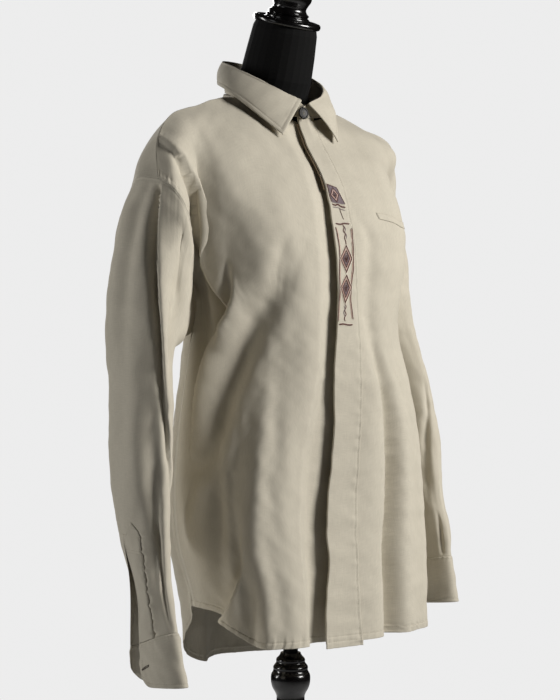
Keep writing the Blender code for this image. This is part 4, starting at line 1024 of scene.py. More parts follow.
turn_hem(fronts[RIGHT], 11)
turn_hem(fronts[LEFT], 12)
turn_hem(back, 13)
join_facings([fronts[RIGHT], fronts[LEFT], back, yoke, sleeves[RIGHT], sleeves[LEFT]])
BODY_PIECES = (("right_front", fronts[RIGHT]), ("left_front", fronts[LEFT]), ("back", back), ("yoke", yoke),
               ("right_sleeve", sleeves[RIGHT]), ("left_sleeve", sleeves[LEFT]))
for name, cloth in BODY_PIECES:
    cloth_mesh(f"{name}_cloth", cloth, cotton, COTTON_THICK, name)

# The front band: a folded, stitched strip down the left front that hides the buttons, and the brown
# facing that shows past its edge below the collar.
# Where the band's stitched edge runs, as height and u.
PLACKET_EDGE = ((1.400, 0.045), (1.300, 0.056), (1.080, 0.060), (0.946, 0.050), (0.823, 0.044),
                (0.741, 0.050), (0.640, 0.069))
PLACKET_LIFT, PLACKET_WIDE = 0.0012, 0.029
left, left_u = fronts[LEFT], front_u[LEFT]
shares = np.concatenate([np.linspace(0, 0.10, 6)[:-1], np.linspace(0.10, 0.88, 14)[:-1],
                         np.linspace(0.88, 1, 7)])
rows = np.arange(len(left.grid), dtype=float)
edge = along_table(PLACKET_EDGE, left.grid[:, 0, 2])
reach = LEFT_EDGE_U + shares[None] * (edge - LEFT_EDGE_U)[:, None]
columns = np.interp(reach, left_u, np.arange(len(left_u)))
height = np.broadcast_to(PLACKET_LIFT * rolled(shares, PLACKET_WIDE)[None], columns.shape)
placket = laid_on(left, np.broadcast_to(rows[:, None], columns.shape), columns, height)
drop = np.linspace(0, 0.0065, 7)[1:, None, None] * np.array([0, 0, -1])
above = np.linspace(0.0050, 0, 4)[:-1, None, None] * np.array([0, 0.25, 1])
placket = Cloth(np.concatenate([placket.grid[:1] + above, placket.grid, placket.grid[-1:] + drop]),
                BODY_MIDDLE)
d = from_hem(placket.grid)
s = (1 - shares)[None] * PLACKET_WIDE
puckers = pucker(placket.grid[..., 2], 0.0009, 51, 0.016) * np.exp(-(((s - 0.003) / 0.005) ** 2))
placket.push((puckers - 0.0004 * np.exp(-(((s - 0.0028) / 0.0011) ** 2))) * ease(s / 0.001))
placket.push(0.0004 * ease((HEM_DEPTH - d) / 0.0012) - 0.0005 * np.exp(-(((d - HEM_DEPTH) / 0.0011) ** 2)))
placket_shares = shares
cloth_mesh("front_placket_cloth", placket, cotton, COTTON_THICK, "front_placket")

facing_cotton = woven("brown_facing_weave", (0.20, 0.145, 0.085), strength=0.3)
FACING_REACH = 0.0026
r = np.linspace(0.09, 0.46, 60)[:, None] * (len(UPPER_SHARES) - 1) + np.zeros((1, 8))
c = np.linspace(0, 6, 8)[None] + np.zeros((60, 1))
underlay = laid_on(left, r, c, np.full(r.shape, -0.0016))
out = unit(underlay.grid[:, 0] - underlay.grid[:, 1]) * FACING_REACH
underlay.grid += out[:, None] * (1 - np.linspace(0, 1, 8) ** 0.5)[None, :, None]
underlay.face_again()
cloth_mesh("fly_underlay_cloth", underlay, facing_cotton, 0.0007, "fly_underlay")

# The breast pocket: only its slanted welt shows, a stitched outline on the left front.
# The welt's place across the front, and the heights of its two edges there.
WELT = ((0.200, 1.2390, 1.2300), (0.270, 1.2372, 1.2265), (0.335, 1.2310, 1.2210), (0.550, 1.2320, 1.2220),
        (0.800, 1.2250, 1.2150))
SLANT = 0.010
fall = np.array([0, 0.06, 0.14, 0.3, 0.5, 0.7, 0.86, 0.94, 1.0])
u = np.linspace(WELT[0][0], WELT[-1][0], 90)
level = along_table(WELT, u)
z = level[None, :, 0] * (1 - fall[:, None]) + level[None, :, 1] * fall[:, None]
r, c = spot(left, left_u, u[None] + SLANT * fall[:, None], z)
height = 0.0007 * rolled(fall, 0.0095)[:, None] * rolled(np.linspace(0, 1, 90), 0.16)[None] + 0.00015
welt = laid_on(left, r, c, height)
cloth_mesh("pocket_welt_cloth", welt, cotton, 0.0006, "pocket_welt")

# The cuffs: a doubled band round each wrist with rounded corners at its open ends.
# A row is its share of the way down the cuff, and then a ring as in the sleeves.
CUFF_ROWS = {
    RIGHT: ((0.5, 0.2425, -0.024, 0.643, 0.017, 0.057, 0.000, 0.20),
            (1.0, 0.2400, -0.027, 0.613, 0.019, 0.060, 0.000, 0.10)),
    LEFT: ((0.5, 0.2660, -0.005, 0.708, 0.017, 0.044, 0.000, 0.12),
           (1.0, 0.2670, -0.009, 0.675, 0.019, 0.047, 0.000, 0.10)),
}
CORNER_RADII = {RIGHT: 0.030, LEFT: 0.019}
CUFF_THICK = 0.0018
CUFF_STITCH, CUFF_TOP_STITCH = 0.0055, 0.004
DENSE_ROWS = 81
cuffs = {}
for side in (RIGHT, LEFT):
    sleeve = sleeves[side]
    cuff_q = slipped(np.where(sleeve_across < -0.42, SLIT_REAR_Q, sleeve_q), side, 1.00)
    net = np.array([sleeve.grid[-1], *(sleeve_ring(cuff_q, side, *row[1:]) for row in CUFF_ROWS[side])])
    net[1:] += open_slit(side, sleeve_across[None], net[1:, :, 2])
    dense = Cloth(spline([0, 0.5, 1.0], net, np.linspace(0, 1, DENSE_ROWS)), net.mean(axis=(0, 1)))
    s = along_rows(dense.grid)[DENSE_ROWS // 2]
    tall = from_hem(dense.grid)[0]
    radius = CORNER_RADII[side]
    end = np.minimum(np.minimum(s, s[-1] - s), radius)
    raised = radius - np.sqrt(radius**2 - (radius - end) ** 2)
    fall = np.concatenate([np.linspace(0, 0.05, 5)[:-1], np.linspace(0.05, 0.86, 22)[:-1],
                           np.linspace(0.86, 1, 11)])
    r = fall[:, None] * (1 - raised / tall)[None] * (DENSE_ROWS - 1)
    grid = places(dense, r, np.broadcast_to(np.arange(len(s)), r.shape))[0]
    cuff = Cloth(grid, net.mean(axis=(0, 1)))
    low, side_d = from_hem(cuff.grid), np.minimum(s, s[-1] - s)[None]
    rim = np.minimum(low, side_d)
    top_d = from_top(cuff.grid)
    band = 0.0010 * ease(top_d / 0.0014) - 0.0005 * ease((0.0009 - rim) / 0.0009)
    groove = -0.0004 * np.exp(-(((rim - CUFF_STITCH) / 0.0012) ** 2))
    groove -= 0.0004 * np.exp(-(((top_d - CUFF_TOP_STITCH) / 0.0012) ** 2))
    along = along_rows(cuff.grid)
    ripple = pucker(along, 0.0006, 61, 0.013) * np.exp(-((top_d / 0.006) ** 2)) * ease(top_d / 0.002)
    swell = rumple(along, cuff.grid[..., 2], 9 + int(side), 0.0009) * ease(top_d / 0.01)
    cuff.push(band + groove + ripple + swell)
    cuffs[side] = cuff
    name = "right" if side == RIGHT else "left"
    cloth_mesh(f"{name}_cuff_cloth", cuff, cotton, CUFF_THICK, f"{name}_cuff")

# The pointed plackets that bind the wrist slits, stitched across below the point.
# Each lies on its sleeve and runs from its point down to the cuff.
towers = {}
for side in (RIGHT, LEFT):
    tower = TOWERS[side]
    across = np.concatenate([np.linspace(0, 0.08, 5)[:-1], np.linspace(0.08, 0.92, 16)[:-1],
                             np.linspace(0.92, 1, 5)])
    q = tower["inner"] + across * (tower["outer"] - tower["inner"])
    peak_q, peak_z = tower["point"]
    top = np.interp(q, [tower["inner"], peak_q, 0.529, tower["outer"]],
                    [tower["corners"][0], peak_z, tower["corners"][1], tower["corners"][1] - 0.001])
    first, c = spot(sleeves[side], sleeve_across, q, top)
    down = np.concatenate([np.linspace(0, 0.03, 5)[:-1], np.linspace(0.03, 1, 70)])
    r = first[None] + down[:, None] * (len(SLEEVE_SHARES) - 1 - first[None])
    height = 0.0011 * rolled(across, 0.044)[None] * np.sqrt(np.clip(down / 0.008, 0, 1))[:, None] + 0.0001
    strip = laid_on(sleeves[side], r, np.broadcast_to(c, r.shape), height)
    towers[side] = strip
    name = "right" if side == RIGHT else "left"
    cloth_mesh(f"{name}_sleeve_placket_cloth", strip, cotton, COTTON_THICK, f"{name}_sleeve_placket")

# The collar: a stand round the neck that buttons in front, and the leaf that turns down over it.
# A row of a collar line: its share of the way round from the middle of the back, and the place out, y, z.
NECK_LINE = ((0.00, 0.000, 0.107, 1.4188), (0.25, 0.0475, 0.0905, 1.4162), (0.50, 0.0755, 0.030, 1.4012),
             (0.75, 0.0460, -0.0190, 1.3792))
NECK_ENDS = {RIGHT: (1.03, -0.005, -0.0345, 1.3690), LEFT: (1.10, -0.019, -0.0405, 1.3680)}
FOLD_LINE = ((0.00, 0.000, 0.113, 1.4635), (0.25, 0.049, 0.096, 1.460), (0.50, 0.068, 0.034, 1.440),
             (0.75, 0.047, -0.018, 1.4125))
FOLD_ENDS = {RIGHT: (1.00, 0.011, -0.0385, 1.3935), LEFT: (1.00, -0.003, -0.0420, 1.3885)}
LEAF_EDGE = {
    RIGHT: ((0.00, 0.000, 0.122, 1.4306), (0.25, 0.0525, 0.1005, 1.4290), (0.50, 0.088, 0.032, 1.409),
            (0.75, 0.082, -0.012, 1.381), (1.00, 0.055, -0.053, 1.342)),
    LEFT: ((0.00, 0.000, 0.122, 1.4306), (0.25, 0.0525, 0.1005, 1.4290), (0.50, 0.086, 0.032, 1.408),
           (0.75, 0.066, -0.016, 1.383), (1.00, 0.039, -0.054, 1.339)),
}
STAND_TOP_ENDS = {RIGHT: (1.03, -0.004, -0.0335, 1.3895), LEFT: (1.08, -0.012, -0.0398, 1.3865)}
STAND_LAP, STAND_CORNER = 0.0034, 0.009
COLLAR_STITCH = 0.0058
neck_middle = np.array([0, 0.033, 1.40])
half = np.concatenate([np.linspace(0, 0.93, 52)[:-1], np.linspace(0.93, 1, 12)])


def collar_line(table, side, share):
    made = along_table(table, share)
    made[:, 0] *= side
    if side == LEFT:
        made[:, 1] -= STAND_LAP * ease((share - 0.70) / 0.22)
    return made


def both_sides(tables, ends):
    """One line all round the neck, from the wearer's right end to the left one."""
    halves = [collar_line(tables[side], side, half * ends[side]) for side in (RIGHT, LEFT)]
    return np.concatenate([halves[0][:0:-1], halves[1]])


foot = both_sides({s: (*NECK_LINE, NECK_ENDS[s]) for s in (RIGHT, LEFT)}, {RIGHT: 1.03, LEFT: 1.10})
crest = both_sides({s: (*FOLD_LINE, STAND_TOP_ENDS[s]) for s in (RIGHT, LEFT)}, {RIGHT: 1.03, LEFT: 1.08})
crest += unit((neck_middle - crest) * (1, 1, 0)) * 0.0019 - np.array([0, 0, 0.0012])
s = run_along(crest)
end = np.clip(np.minimum(s, s[-1] - s), 0, STAND_CORNER)
fallen = STAND_CORNER - np.sqrt(STAND_CORNER**2 - (STAND_CORNER - end) ** 2)
tall = np.linalg.norm(crest - foot, axis=1)
rise = np.concatenate([np.linspace(0, 0.1, 4)[:-1], np.linspace(0.1, 0.9, 12)[:-1], np.linspace(0.9, 1, 4)])
r = (fallen / tall)[None] + rise[:, None] * (1 - fallen / tall - 0.35 * fallen / tall)[None]
collar_stand = Cloth(crest[None] * (1 - r[..., None]) + foot[None] * r[..., None], neck_middle)
rim = np.minimum(np.minimum(s, s[-1] - s)[None], np.minimum(rise, 1 - rise)[:, None] * tall[None])
collar_stand.push(-0.0005 * ease((0.0008 - rim) / 0.0008) - 0.0003 * np.exp(-(((rim - 0.003) / 0.001) ** 2)))
cloth_mesh("collar_stand_cloth", collar_stand, cotton, 0.0015, "collar_stand")

leaf_top = both_sides({s: (*FOLD_LINE, FOLD_ENDS[s]) for s in (RIGHT, LEFT)}, {RIGHT: 1.0, LEFT: 1.0})
leaf_low = both_sides(LEAF_EDGE, {RIGHT: 1.0, LEFT: 1.0})
FOLD_RADIUS, LEAF_CROWN = 0.0017, 0.0038
out_top = unit((leaf_top - neck_middle) * (1, 1, 0))
turn = np.radians(np.linspace(-85, 80, 9))[:, None, None]
roll = leaf_top[None] - out_top[None] * FOLD_RADIUS * (1 - np.sin(turn))
roll = roll + np.array([0, 0, FOLD_RADIUS]) * np.cos(turn)
fall = np.concatenate([np.linspace(0, 0.80, 22)[:-1], np.linspace(0.80, 1, 12)])[:, None, None]
outward = unit((leaf_low - neck_middle) * (1, 1, 0))[None]
leaf_grid = leaf_top[None] * (1 - fall) + leaf_low[None] * fall + outward * LEAF_CROWN * 4 * fall * (1 - fall)
collar_leaf = Cloth(np.concatenate([roll, leaf_grid]), neck_middle)
s = along_rows(collar_leaf.grid)
leaf_edge = np.minimum(from_hem(collar_leaf.grid), np.minimum(s, s[:, -1:] - s))
stitched = -0.0004 * np.exp(-(((leaf_edge - COLLAR_STITCH) / 0.0011) ** 2))
thinned = -0.0005 * ease((0.0009 - leaf_edge) / 0.0009)
swell = 0.0003 * ease((COLLAR_STITCH - leaf_edge) / 0.001)
uneven = rumple(s, collar_leaf.grid[..., 2], 15, 0.0006) * ease(leaf_edge / 0.01)
collar_leaf.push(stitched + thinned + swell + uneven)
cloth_mesh("collar_leaf_cloth", collar_leaf, cotton, 0.0014, "collar_leaf")

# The embroidery down the front band: a woven-looking patch, then a tall frame with two diamonds, worked
# in satin stitch in brown, mauve and pale pink thread with a cream outline.
THREADS = {"brown": (0.085, 0.022, 0.013), "dark": (0.045, 0.014, 0.012), "mauve": (0.195, 0.150, 0.165),
           "pink": (0.72, 0.50, 0.42), "cream": (0.80, 0.74, 0.62)}
SATIN_PITCH = 0.0006


def satin(name, colour):
    """Shiny thread laid side by side across a line of embroidery."""
    made, nodes, links, shader = finish(f"{name}_satin_thread", colour, 0.5, sheen=0.25)
    along = mapped(nodes, links, "UV", (1, 1, 1))
    ridges = ribbed(nodes, links, along, "DIAGONAL", SATIN_PITCH, 1.2)
    mottled(nodes, links, shader, 700, [c * 0.72 for c in colour], [min(1, c * 1.2) for c in colour])
    roughened(nodes, links, shader, ridges.outputs["Fac"], 0.6, 0.0002)
    return made


STRAND_RING = np.array([(-1.0, 0.0), (-0.72, 0.72), (0.0, 1.0), (0.72, 0.72), (1.0, 0.0), (0.0, -0.5)])


def strands_mesh(name, strands, material):
    """Raised threads: each strand is a line of points with its facing, half width and height."""
    points, quads, caps, grain = [], [], [], []
    count, k = 0, len(STRAND_RING)
    for line, facing, half_width, high in strands:
        way = unit(np.gradient(line, axis=0))
        side = unit(np.cross(facing, way))
        from_end = np.minimum(np.arange(len(line)), np.arange(len(line))[::-1])
        taper = np.minimum(1, 0.35 + 0.4 * from_end)[:, None, None]
        across = STRAND_RING[None, :, :1] * side[:, None] * half_width * taper
        ring = line[:, None] + across + STRAND_RING[None, :, 1:] * facing[:, None] * high * taper
        points.append(ring.reshape(-1, 3))
        number = count + np.arange(len(line) * k).reshape(len(line), k)
        after = np.roll(number, -1, axis=1)
        quads.append(np.stack([number[:-1], after[:-1], after[1:], number[1:]], axis=-1).reshape(-1, 4))
        caps += [list(number[0][::-1]), list(number[-1])]
        run = run_along(line)
        grain.append(np.stack([np.repeat(run, k), np.tile(STRAND_RING[:, 0] * half_width, len(line))],
                              axis=1))
        count += len(line) * k
    mesh = bpy.data.meshes.new(name)
    mesh.from_pydata(np.concatenate(points), [], [*np.concatenate(quads).tolist(), *caps])
    layer = mesh.uv_layers.new(name="grain")
    corner = np.empty(len(mesh.loops), np.int32)
    mesh.loops.foreach_get("vertex_index", corner)
    layer.data.foreach_set("uv", np.concatenate(grain)[corner].astype(np.float32).ravel())
    mesh.materials.append(material)
    mesh.shade_smooth()
    mesh.validate()
    made = bpy.data.objects.new(name, mesh)
    bpy.context.scene.collection.objects.link(made)
    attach(made, "root")
    return made


def on_front(path, lift, step=0.0012, closed=False):
    """A drawn line of (u, z) points laid on the front band."""
    path = np.array([*path, path[0]] if closed else path, float)
    run = run_along(path * (HALF_BREADTH, 1))
    at = np.unique(np.concatenate([np.linspace(0, run[-1], max(4, int(run[-1] / step))), run]))
    u, z = np.interp(at, run, path[:, 0]), np.interp(at, run, path[:, 1])
    line, facing = places(left, *spot(left, left_u, u, z))
    return line + facing * lift, facing


def shrunk(corners, share):
    corners = np.array(corners, float)
    middle = corners.mean(axis=0)
    return middle + (corners - middle) * share


FLOSS_LIFT = PLACKET_LIFT + 0.00025
PATCH = ((-0.044, 1.2740), (0.009, 1.2700), (0.035, 1.2465), (-0.038, 1.2485))
PATCH_DIAMOND = ((-0.016, 1.2695), (0.010, 1.2600), (-0.008, 1.2492), (-0.034, 1.2590))
DIAMONDS = (
    ((0.009, 1.1910), (0.032, 1.1730), (0.000, 1.1540), (-0.033, 1.1730)),
    ((0.000, 1.1510), (0.023, 1.1340), (-0.012, 1.1130), (-0.038, 1.1340)),
)
# Each drawn line's thread, half width and points (u, z).
LINES = (
    ("brown", 0.0013, ((-0.036, 1.2462), (-0.020, 1.2450), (-0.006, 1.2462), (0.010, 1.2438),
                       (0.033, 1.2428))),
    ("mauve", 0.0005, ((-0.036, 1.2422), (-0.010, 1.2420), (0.010, 1.2400), (0.030, 1.2388))),
    ("brown", 0.0005, ((0.000, 1.2420), (0.006, 1.2345), (0.010, 1.2300), (0.014, 1.2260))),
    ("brown", 0.0012, ((-0.033, 1.2200), (-0.008, 1.2192), (0.016, 1.2206), (0.041, 1.2200))),
    ("cream", 0.0006, ((0.036, 1.2222), (0.046, 1.2205), (0.052, 1.2160))),
    ("brown", 0.0009, ((0.005, 1.2190), (0.010, 1.2150), (0.004, 1.2105), (0.012, 1.2060), (0.006, 1.2010),
                       (0.010, 1.1960), (0.009, 1.1915))),
    ("mauve", 0.0005, ((0.011, 1.2170), (0.016, 1.2130), (0.011, 1.2085), (0.018, 1.2040), (0.013, 1.1995))),
    ("brown", 0.0009, ((-0.012, 1.1125), (-0.007, 1.1080), (-0.014, 1.1030), (-0.008, 1.0980),
                       (-0.016, 1.0930), (-0.013, 1.0885))),
    ("mauve", 0.0005, ((-0.018, 1.1090), (-0.013, 1.1050), (-0.020, 1.1005), (-0.014, 1.0955))),
    ("brown", 0.0012, ((-0.042, 1.0840), (-0.020, 1.0848), (0.000, 1.0836), (0.018, 1.0840))),
    ("brown", 0.0009, ((-0.038, 1.2150), (-0.034, 1.2050), (-0.033, 1.1850), (-0.038, 1.1650),
                       (-0.042, 1.1450), (-0.044, 1.1200), (-0.048, 1.0980), (-0.048, 1.0880))),
    ("pink", 0.0004, ((-0.033, 1.2140), (-0.029, 1.2040), (-0.028, 1.1850), (-0.033, 1.1650),
                      (-0.037, 1.1450), (-0.039, 1.1200), (-0.043, 1.0980), (-0.043, 1.0890))),
    ("brown", 0.0010, ((0.050, 1.2150), (0.047, 1.2020), (0.046, 1.1910), (0.041, 1.1740), (0.037, 1.1580),
                       (0.028, 1.1440), (0.021, 1.1300), (0.018, 1.1200), (0.020, 1.1050), (0.023, 1.0910))),
    ("pink", 0.0004, ((0.045, 1.2140), (0.042, 1.2020), (0.041, 1.1910), (0.036, 1.1740), (0.032, 1.1585),
                      (0.023, 1.1440), (0.016, 1.1300), (0.013, 1.1200), (0.015, 1.1050), (0.018, 1.0915))),
)
floss = {colour: [] for colour in THREADS}
for colour, half_width, points in LINES:
    points = np.array(points)
    keys = np.arange(len(points))
    smooth = spline(keys, points, np.linspace(0, len(points) - 1, 8 * len(points)))
    floss[colour].append((*on_front(smooth, FLOSS_LIFT), half_width, 0.00045))
    if colour == "brown" and half_width > 0.0005:
        floss["cream"].append((*on_front(smooth, FLOSS_LIFT - 0.00015), half_width + 0.0004, 0.0003))
RINGS = (("cream", 1.13, 0.0005), ("brown", 1.00, 0.0010), ("pink", 0.79, 0.0006), ("brown", 0.62, 0.0008),
         ("mauve", 0.43, 0.0008), ("brown", 0.26, 0.0008), ("dark", 0.10, 0.0009))
for corners in DIAMONDS:
    for colour, share, half_width in RINGS:
        floss[colour].append((*on_front(shrunk(corners, share), FLOSS_LIFT, closed=True), half_width,
                              0.00045))
PATCH_RINGS = (("brown", 1.0, 0.0007), ("pink", 0.72, 0.0006), ("brown", 0.44, 0.0007),
               ("dark", 0.14, 0.0007))
for colour, share, half_width in PATCH_RINGS:
    line, facing = on_front(shrunk(PATCH_DIAMOND, share), FLOSS_LIFT + 0.0003, closed=True)
    floss[colour].append((line, facing, half_width, 0.0004))
floss["brown"].append((*on_front(shrunk(PATCH, 0.97)[[3, 0, 1]], FLOSS_LIFT + 0.0002), 0.0006, 0.0004))
floss["brown"].append((*on_front(shrunk(PATCH, 0.97)[[1, 2]], FLOSS_LIFT + 0.0002), 0.0005, 0.0004))
# Rows of mauve filling stitches make the patch's ground, and loose cream ends fray from its rim.
for k in np.linspace(0.02, 0.98, 26):
    a = np.array(PATCH[0]) * (1 - k) + np.array(PATCH[3]) * k
    b = np.array(PATCH[1]) * (1 - k) + np.array(PATCH[2]) * k
    floss["mauve"].append((*on_front((a, b), FLOSS_LIFT), 0.00052, 0.00035))
rng = np.random.default_rng(17)
rim = np.array([*PATCH, PATCH[0]])
for k in np.arange(0, 4, 0.045):
    a = rim[int(k)] * (1 - k % 1) + rim[int(k) + 1] * (k % 1)
    away = unit((a - np.mean(PATCH, axis=0)) * (HALF_BREADTH, 1)) / (HALF_BREADTH, 1)
    tip = a + away * rng.uniform(0.0008, 0.0024) + rng.uniform(-0.0004, 0.0004, 2)
    floss["cream"].append((*on_front((a - away * 0.0012, tip), FLOSS_LIFT - 0.0001, 0.0008), 0.00042,
                           0.00030))
for colour, strands in floss.items():
    strands_mesh(f"{colour}_embroidery", strands, satin(colour, THREADS[colour]))

# The sewing: rows of small stitches along every topstitched edge and seam.
# Each is a little lozenge of thread, half sunk in the cloth.
STITCH_PITCH, STITCH_LONG, STITCH_HALF, STITCH_HIGH = 0.0028, 0.0021, 0.00026, 0.00026
sewing_thread, nodes, links, shader = finish("taupe_sewing_thread", (0.285, 0.240, 0.170), 0.6, sheen=0.1)
mottled(nodes, links, shader, 300, (0.24, 0.20, 0.14), (0.33, 0.28, 0.20))
STITCH_SHAPE = np.array([(-1, 0, -0.4), (1, 0, -0.4), (0, 1, 0.1), (0, -1, 0.1), (0, 0, 1), (0, 0, -0.9)])
STITCH_FACES = np.array([(0, 3, 4), (0, 4, 2), (0, 2, 5), (0, 5, 3), (1, 4, 3), (1, 2, 4), (1, 5, 2),
                         (1, 3, 5)])


def sew(name, lines, seed):
    """One mesh of stitches along lines of points, each with the cloth's facing."""
    rng = np.random.default_rng(seed)
    points = []
    for line, facing in lines:
        run = run_along(line)
        at = np.arange(STITCH_PITCH / 2, run[-1], STITCH_PITCH)
        at = at + rng.uniform(-0.00015, 0.00015, len(at))
        where = np.stack([np.interp(at, run, line[:, k]) for k in range(3)], axis=1)
        ahead = np.stack([np.interp(at + 0.0008, run, line[:, k]) for k in range(3)], axis=1)
        up = unit(np.stack([np.interp(at, run, facing[:, k]) for k in range(3)], axis=1))
        way = unit(ahead - where + 1e-9)
        side = unit(np.cross(up, way))
        size = STITCH_SHAPE * (STITCH_LONG / 2, STITCH_HALF, STITCH_HIGH)
        made = [where + along * way + across * side + high * up for along, across, high in size]
        points.append(np.stack(made, axis=1).reshape(-1, 3))
    points = np.concatenate(points)
    faces = (np.arange(len(points) // 6)[:, None, None] * 6 + STITCH_FACES[None]).reshape(-1, 3)
    mesh = bpy.data.meshes.new(name)
    mesh.from_pydata(points, [], faces.tolist())
    mesh.materials.append(sewing_thread)
    made = bpy.data.objects.new(name, mesh)
    bpy.context.scene.collection.objects.link(made)
    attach(made, "root")
    return made


def at_depth(depths, value):
    """The fractional row, in each column, at which a table of distances passes a value."""
    rows = np.arange(len(depths), dtype=float)
    if depths[0, 0] > depths[-1, 0]:
        depths, rows = depths[::-1], rows[::-1]
    return np.array([np.interp(value, column, rows) for column in depths.T])


def hem_line(cloth, depth):
    r = at_depth(from_hem(cloth.grid), depth)
    return places(cloth, r, np.arange(len(r)))


body_lines = [hem_line(cloth, HEM_DEPTH) for cloth in (fronts[RIGHT], fronts[LEFT], back)]
n = len(placket.grid)
band_column = np.interp(0.90, placket_shares, np.arange(len(placket_shares)))
body_lines.append(places(placket, np.arange(n), np.full(n, band_column)))
body_lines.append(places(placket, np.full(20, n - 9.0), np.linspace(1, len(placket_shares) - 2, 20)))
for side in (RIGHT, LEFT):
    front = fronts[side]
    armhole_rows = np.arange(0, len(UPPER_SHARES) - 2)
    body_lines.append(places(front, armhole_rows, np.full(len(armhole_rows), front.grid.shape[1] - 6.8)))
    column = back.grid.shape[1] - 6.8 if side == LEFT else 5.8
    body_lines.append(places(back, armhole_rows, np.full(len(armhole_rows), column)))
    yoke_rows = np.arange(0, len(YOKE_SHARES))
    body_lines.append(places(yoke, yoke_rows, np.full(len(yoke_rows), column)))
    shoulder = np.arange(NECK_COLUMN, len(HALF_U) - 1)
    middle = len(HALF_U) - 1
    body_lines.append(places(yoke, np.full(len(shoulder), 0.9), middle + shoulder * int(side)))
    side_rows = np.arange(len(UPPER_SHARES), len(front.grid) - 1)
    body_lines.append(places(front, side_rows, np.full(len(side_rows), front.grid.shape[1] - 1.9)))
wide = np.arange(2, back.grid.shape[1] - 2)
body_lines.append(places(yoke, np.full(len(wide), len(YOKE_SHARES) - 1.8), wide))
ends = np.arange(1, welt.grid.shape[1] - 1)
body_lines.append(places(welt, np.full(len(ends), 1.0), ends))
body_lines.append(places(welt, np.full(len(ends), welt.grid.shape[0] - 2.0), ends))
body_lines.append(places(welt, np.arange(1, welt.grid.shape[0] - 1), np.full(welt.grid.shape[0] - 2, 1.0)))
sew("body_stitching", body_lines, 1)

sleeve_lines = []
for side in (RIGHT, LEFT):
    cuff, strip, tower = cuffs[side], towers[side], TOWERS[side]
    columns = np.arange(2, cuff.grid.shape[1] - 2)
    r = at_depth(from_hem(cuff.grid), CUFF_STITCH)
    sleeve_lines.append(places(cuff, r[columns], columns))
    r = at_depth(from_top(cuff.grid), CUFF_TOP_STITCH)
    sleeve_lines.append(places(cuff, r[columns], columns))
    rows = np.arange(4, cuff.grid.shape[0] - 12)
    sleeve_lines.append(places(cuff, rows, np.full(len(rows), 2.6)))
    sleeve_lines.append(places(cuff, rows, np.full(len(rows), cuff.grid.shape[1] - 3.6)))
    rows, last = np.arange(2, strip.grid.shape[0]), strip.grid.shape[1] - 1
    sleeve_lines.append(places(strip, rows, np.full(len(rows), 3.6)))
    sleeve_lines.append(places(strip, rows, np.full(len(rows), last - 3.6)))
    sleeve_lines.append(places(strip, np.full(last - 3, 2.2), np.arange(2, last - 1)))
    r = [np.interp(-tower["line"], -strip.grid[:, k, 2], np.arange(len(strip.grid)))
         for k in range(3, last - 2)]
    sleeve_lines.append(places(strip, r, np.arange(3, last - 2)))
    sleeve_lines.append(places(strip, np.array(r) + 2, np.arange(3, last - 2)))
sew("sleeve_stitching", sleeve_lines, 2)

# The right cuff's buttonhole: a slot bound in dark thread, near the cuff's end and halfway down it.
# It slants a little across the cuff.
BUTTONHOLE_FROM_END, BUTTONHOLE_DOWN = 0.017, 0.0340
BUTTONHOLE_LONG, BUTTONHOLE_HALF, BUTTONHOLE_SLANT = 0.018, 0.0010, 0.0015
cuff = cuffs[RIGHT]
s = along_rows(cuff.grid)[20]
turn = np.linspace(0, 2 * np.pi, 60)
from_edge = BUTTONHOLE_FROM_END + BUTTONHOLE_LONG / 2 + BUTTONHOLE_LONG / 2 * np.cos(turn)
columns = np.interp(s[-1] - from_edge, s, np.arange(len(s)))
down = BUTTONHOLE_DOWN - BUTTONHOLE_SLANT * np.cos(turn)
down += BUTTONHOLE_HALF * np.sign(np.sin(turn)) * np.sqrt(np.abs(np.sin(turn)))
depths = from_top(cuff.grid)
rows = [np.interp(far, depths[:, int(round(c))], np.arange(len(depths))) for far, c in zip(down, columns)]
line, facing = places(cuff, rows, columns)
hole_thread, nodes, links, shader = finish("dark_buttonhole_thread", (0.060, 0.045, 0.032), 0.6, sheen=0.1)
mottled(nodes, links, shader, 900, (0.035, 0.026, 0.018), (0.090, 0.070, 0.050))
strands_mesh("cuff_buttonhole", [(line + facing * 0.0002, facing, 0.0005, 0.0005)], hole_thread)

# The collar's stitching: round the leaf inside its edge, and along the stand's foot.
collar_lines = []
rows, columns = collar_leaf.grid.shape[:2]
inner = np.arange(7, columns - 7)
r = at_depth(from_hem(collar_leaf.grid), COLLAR_STITCH)
collar_lines.append(places(collar_leaf, r[inner], inner))
s = along_rows(collar_leaf.grid)
down = np.arange(9, rows)
from_start = np.array([np.interp(COLLAR_STITCH, s[k], np.arange(columns)) for k in down])
from_end = np.array([np.interp(s[k, -1] - COLLAR_STITCH, s[k], np.arange(columns)) for k in down])
keep = down < r[8]
collar_lines.append(places(collar_leaf, down[keep], from_start[keep]))
collar_lines.append(places(collar_leaf, down[keep], from_end[keep]))
inner = np.arange(6, collar_stand.grid.shape[1] - 6)
collar_lines.append(places(collar_stand, np.full(len(inner), collar_stand.grid.shape[0] - 4.0), inner))
sew("collar_stitching", collar_lines, 3)

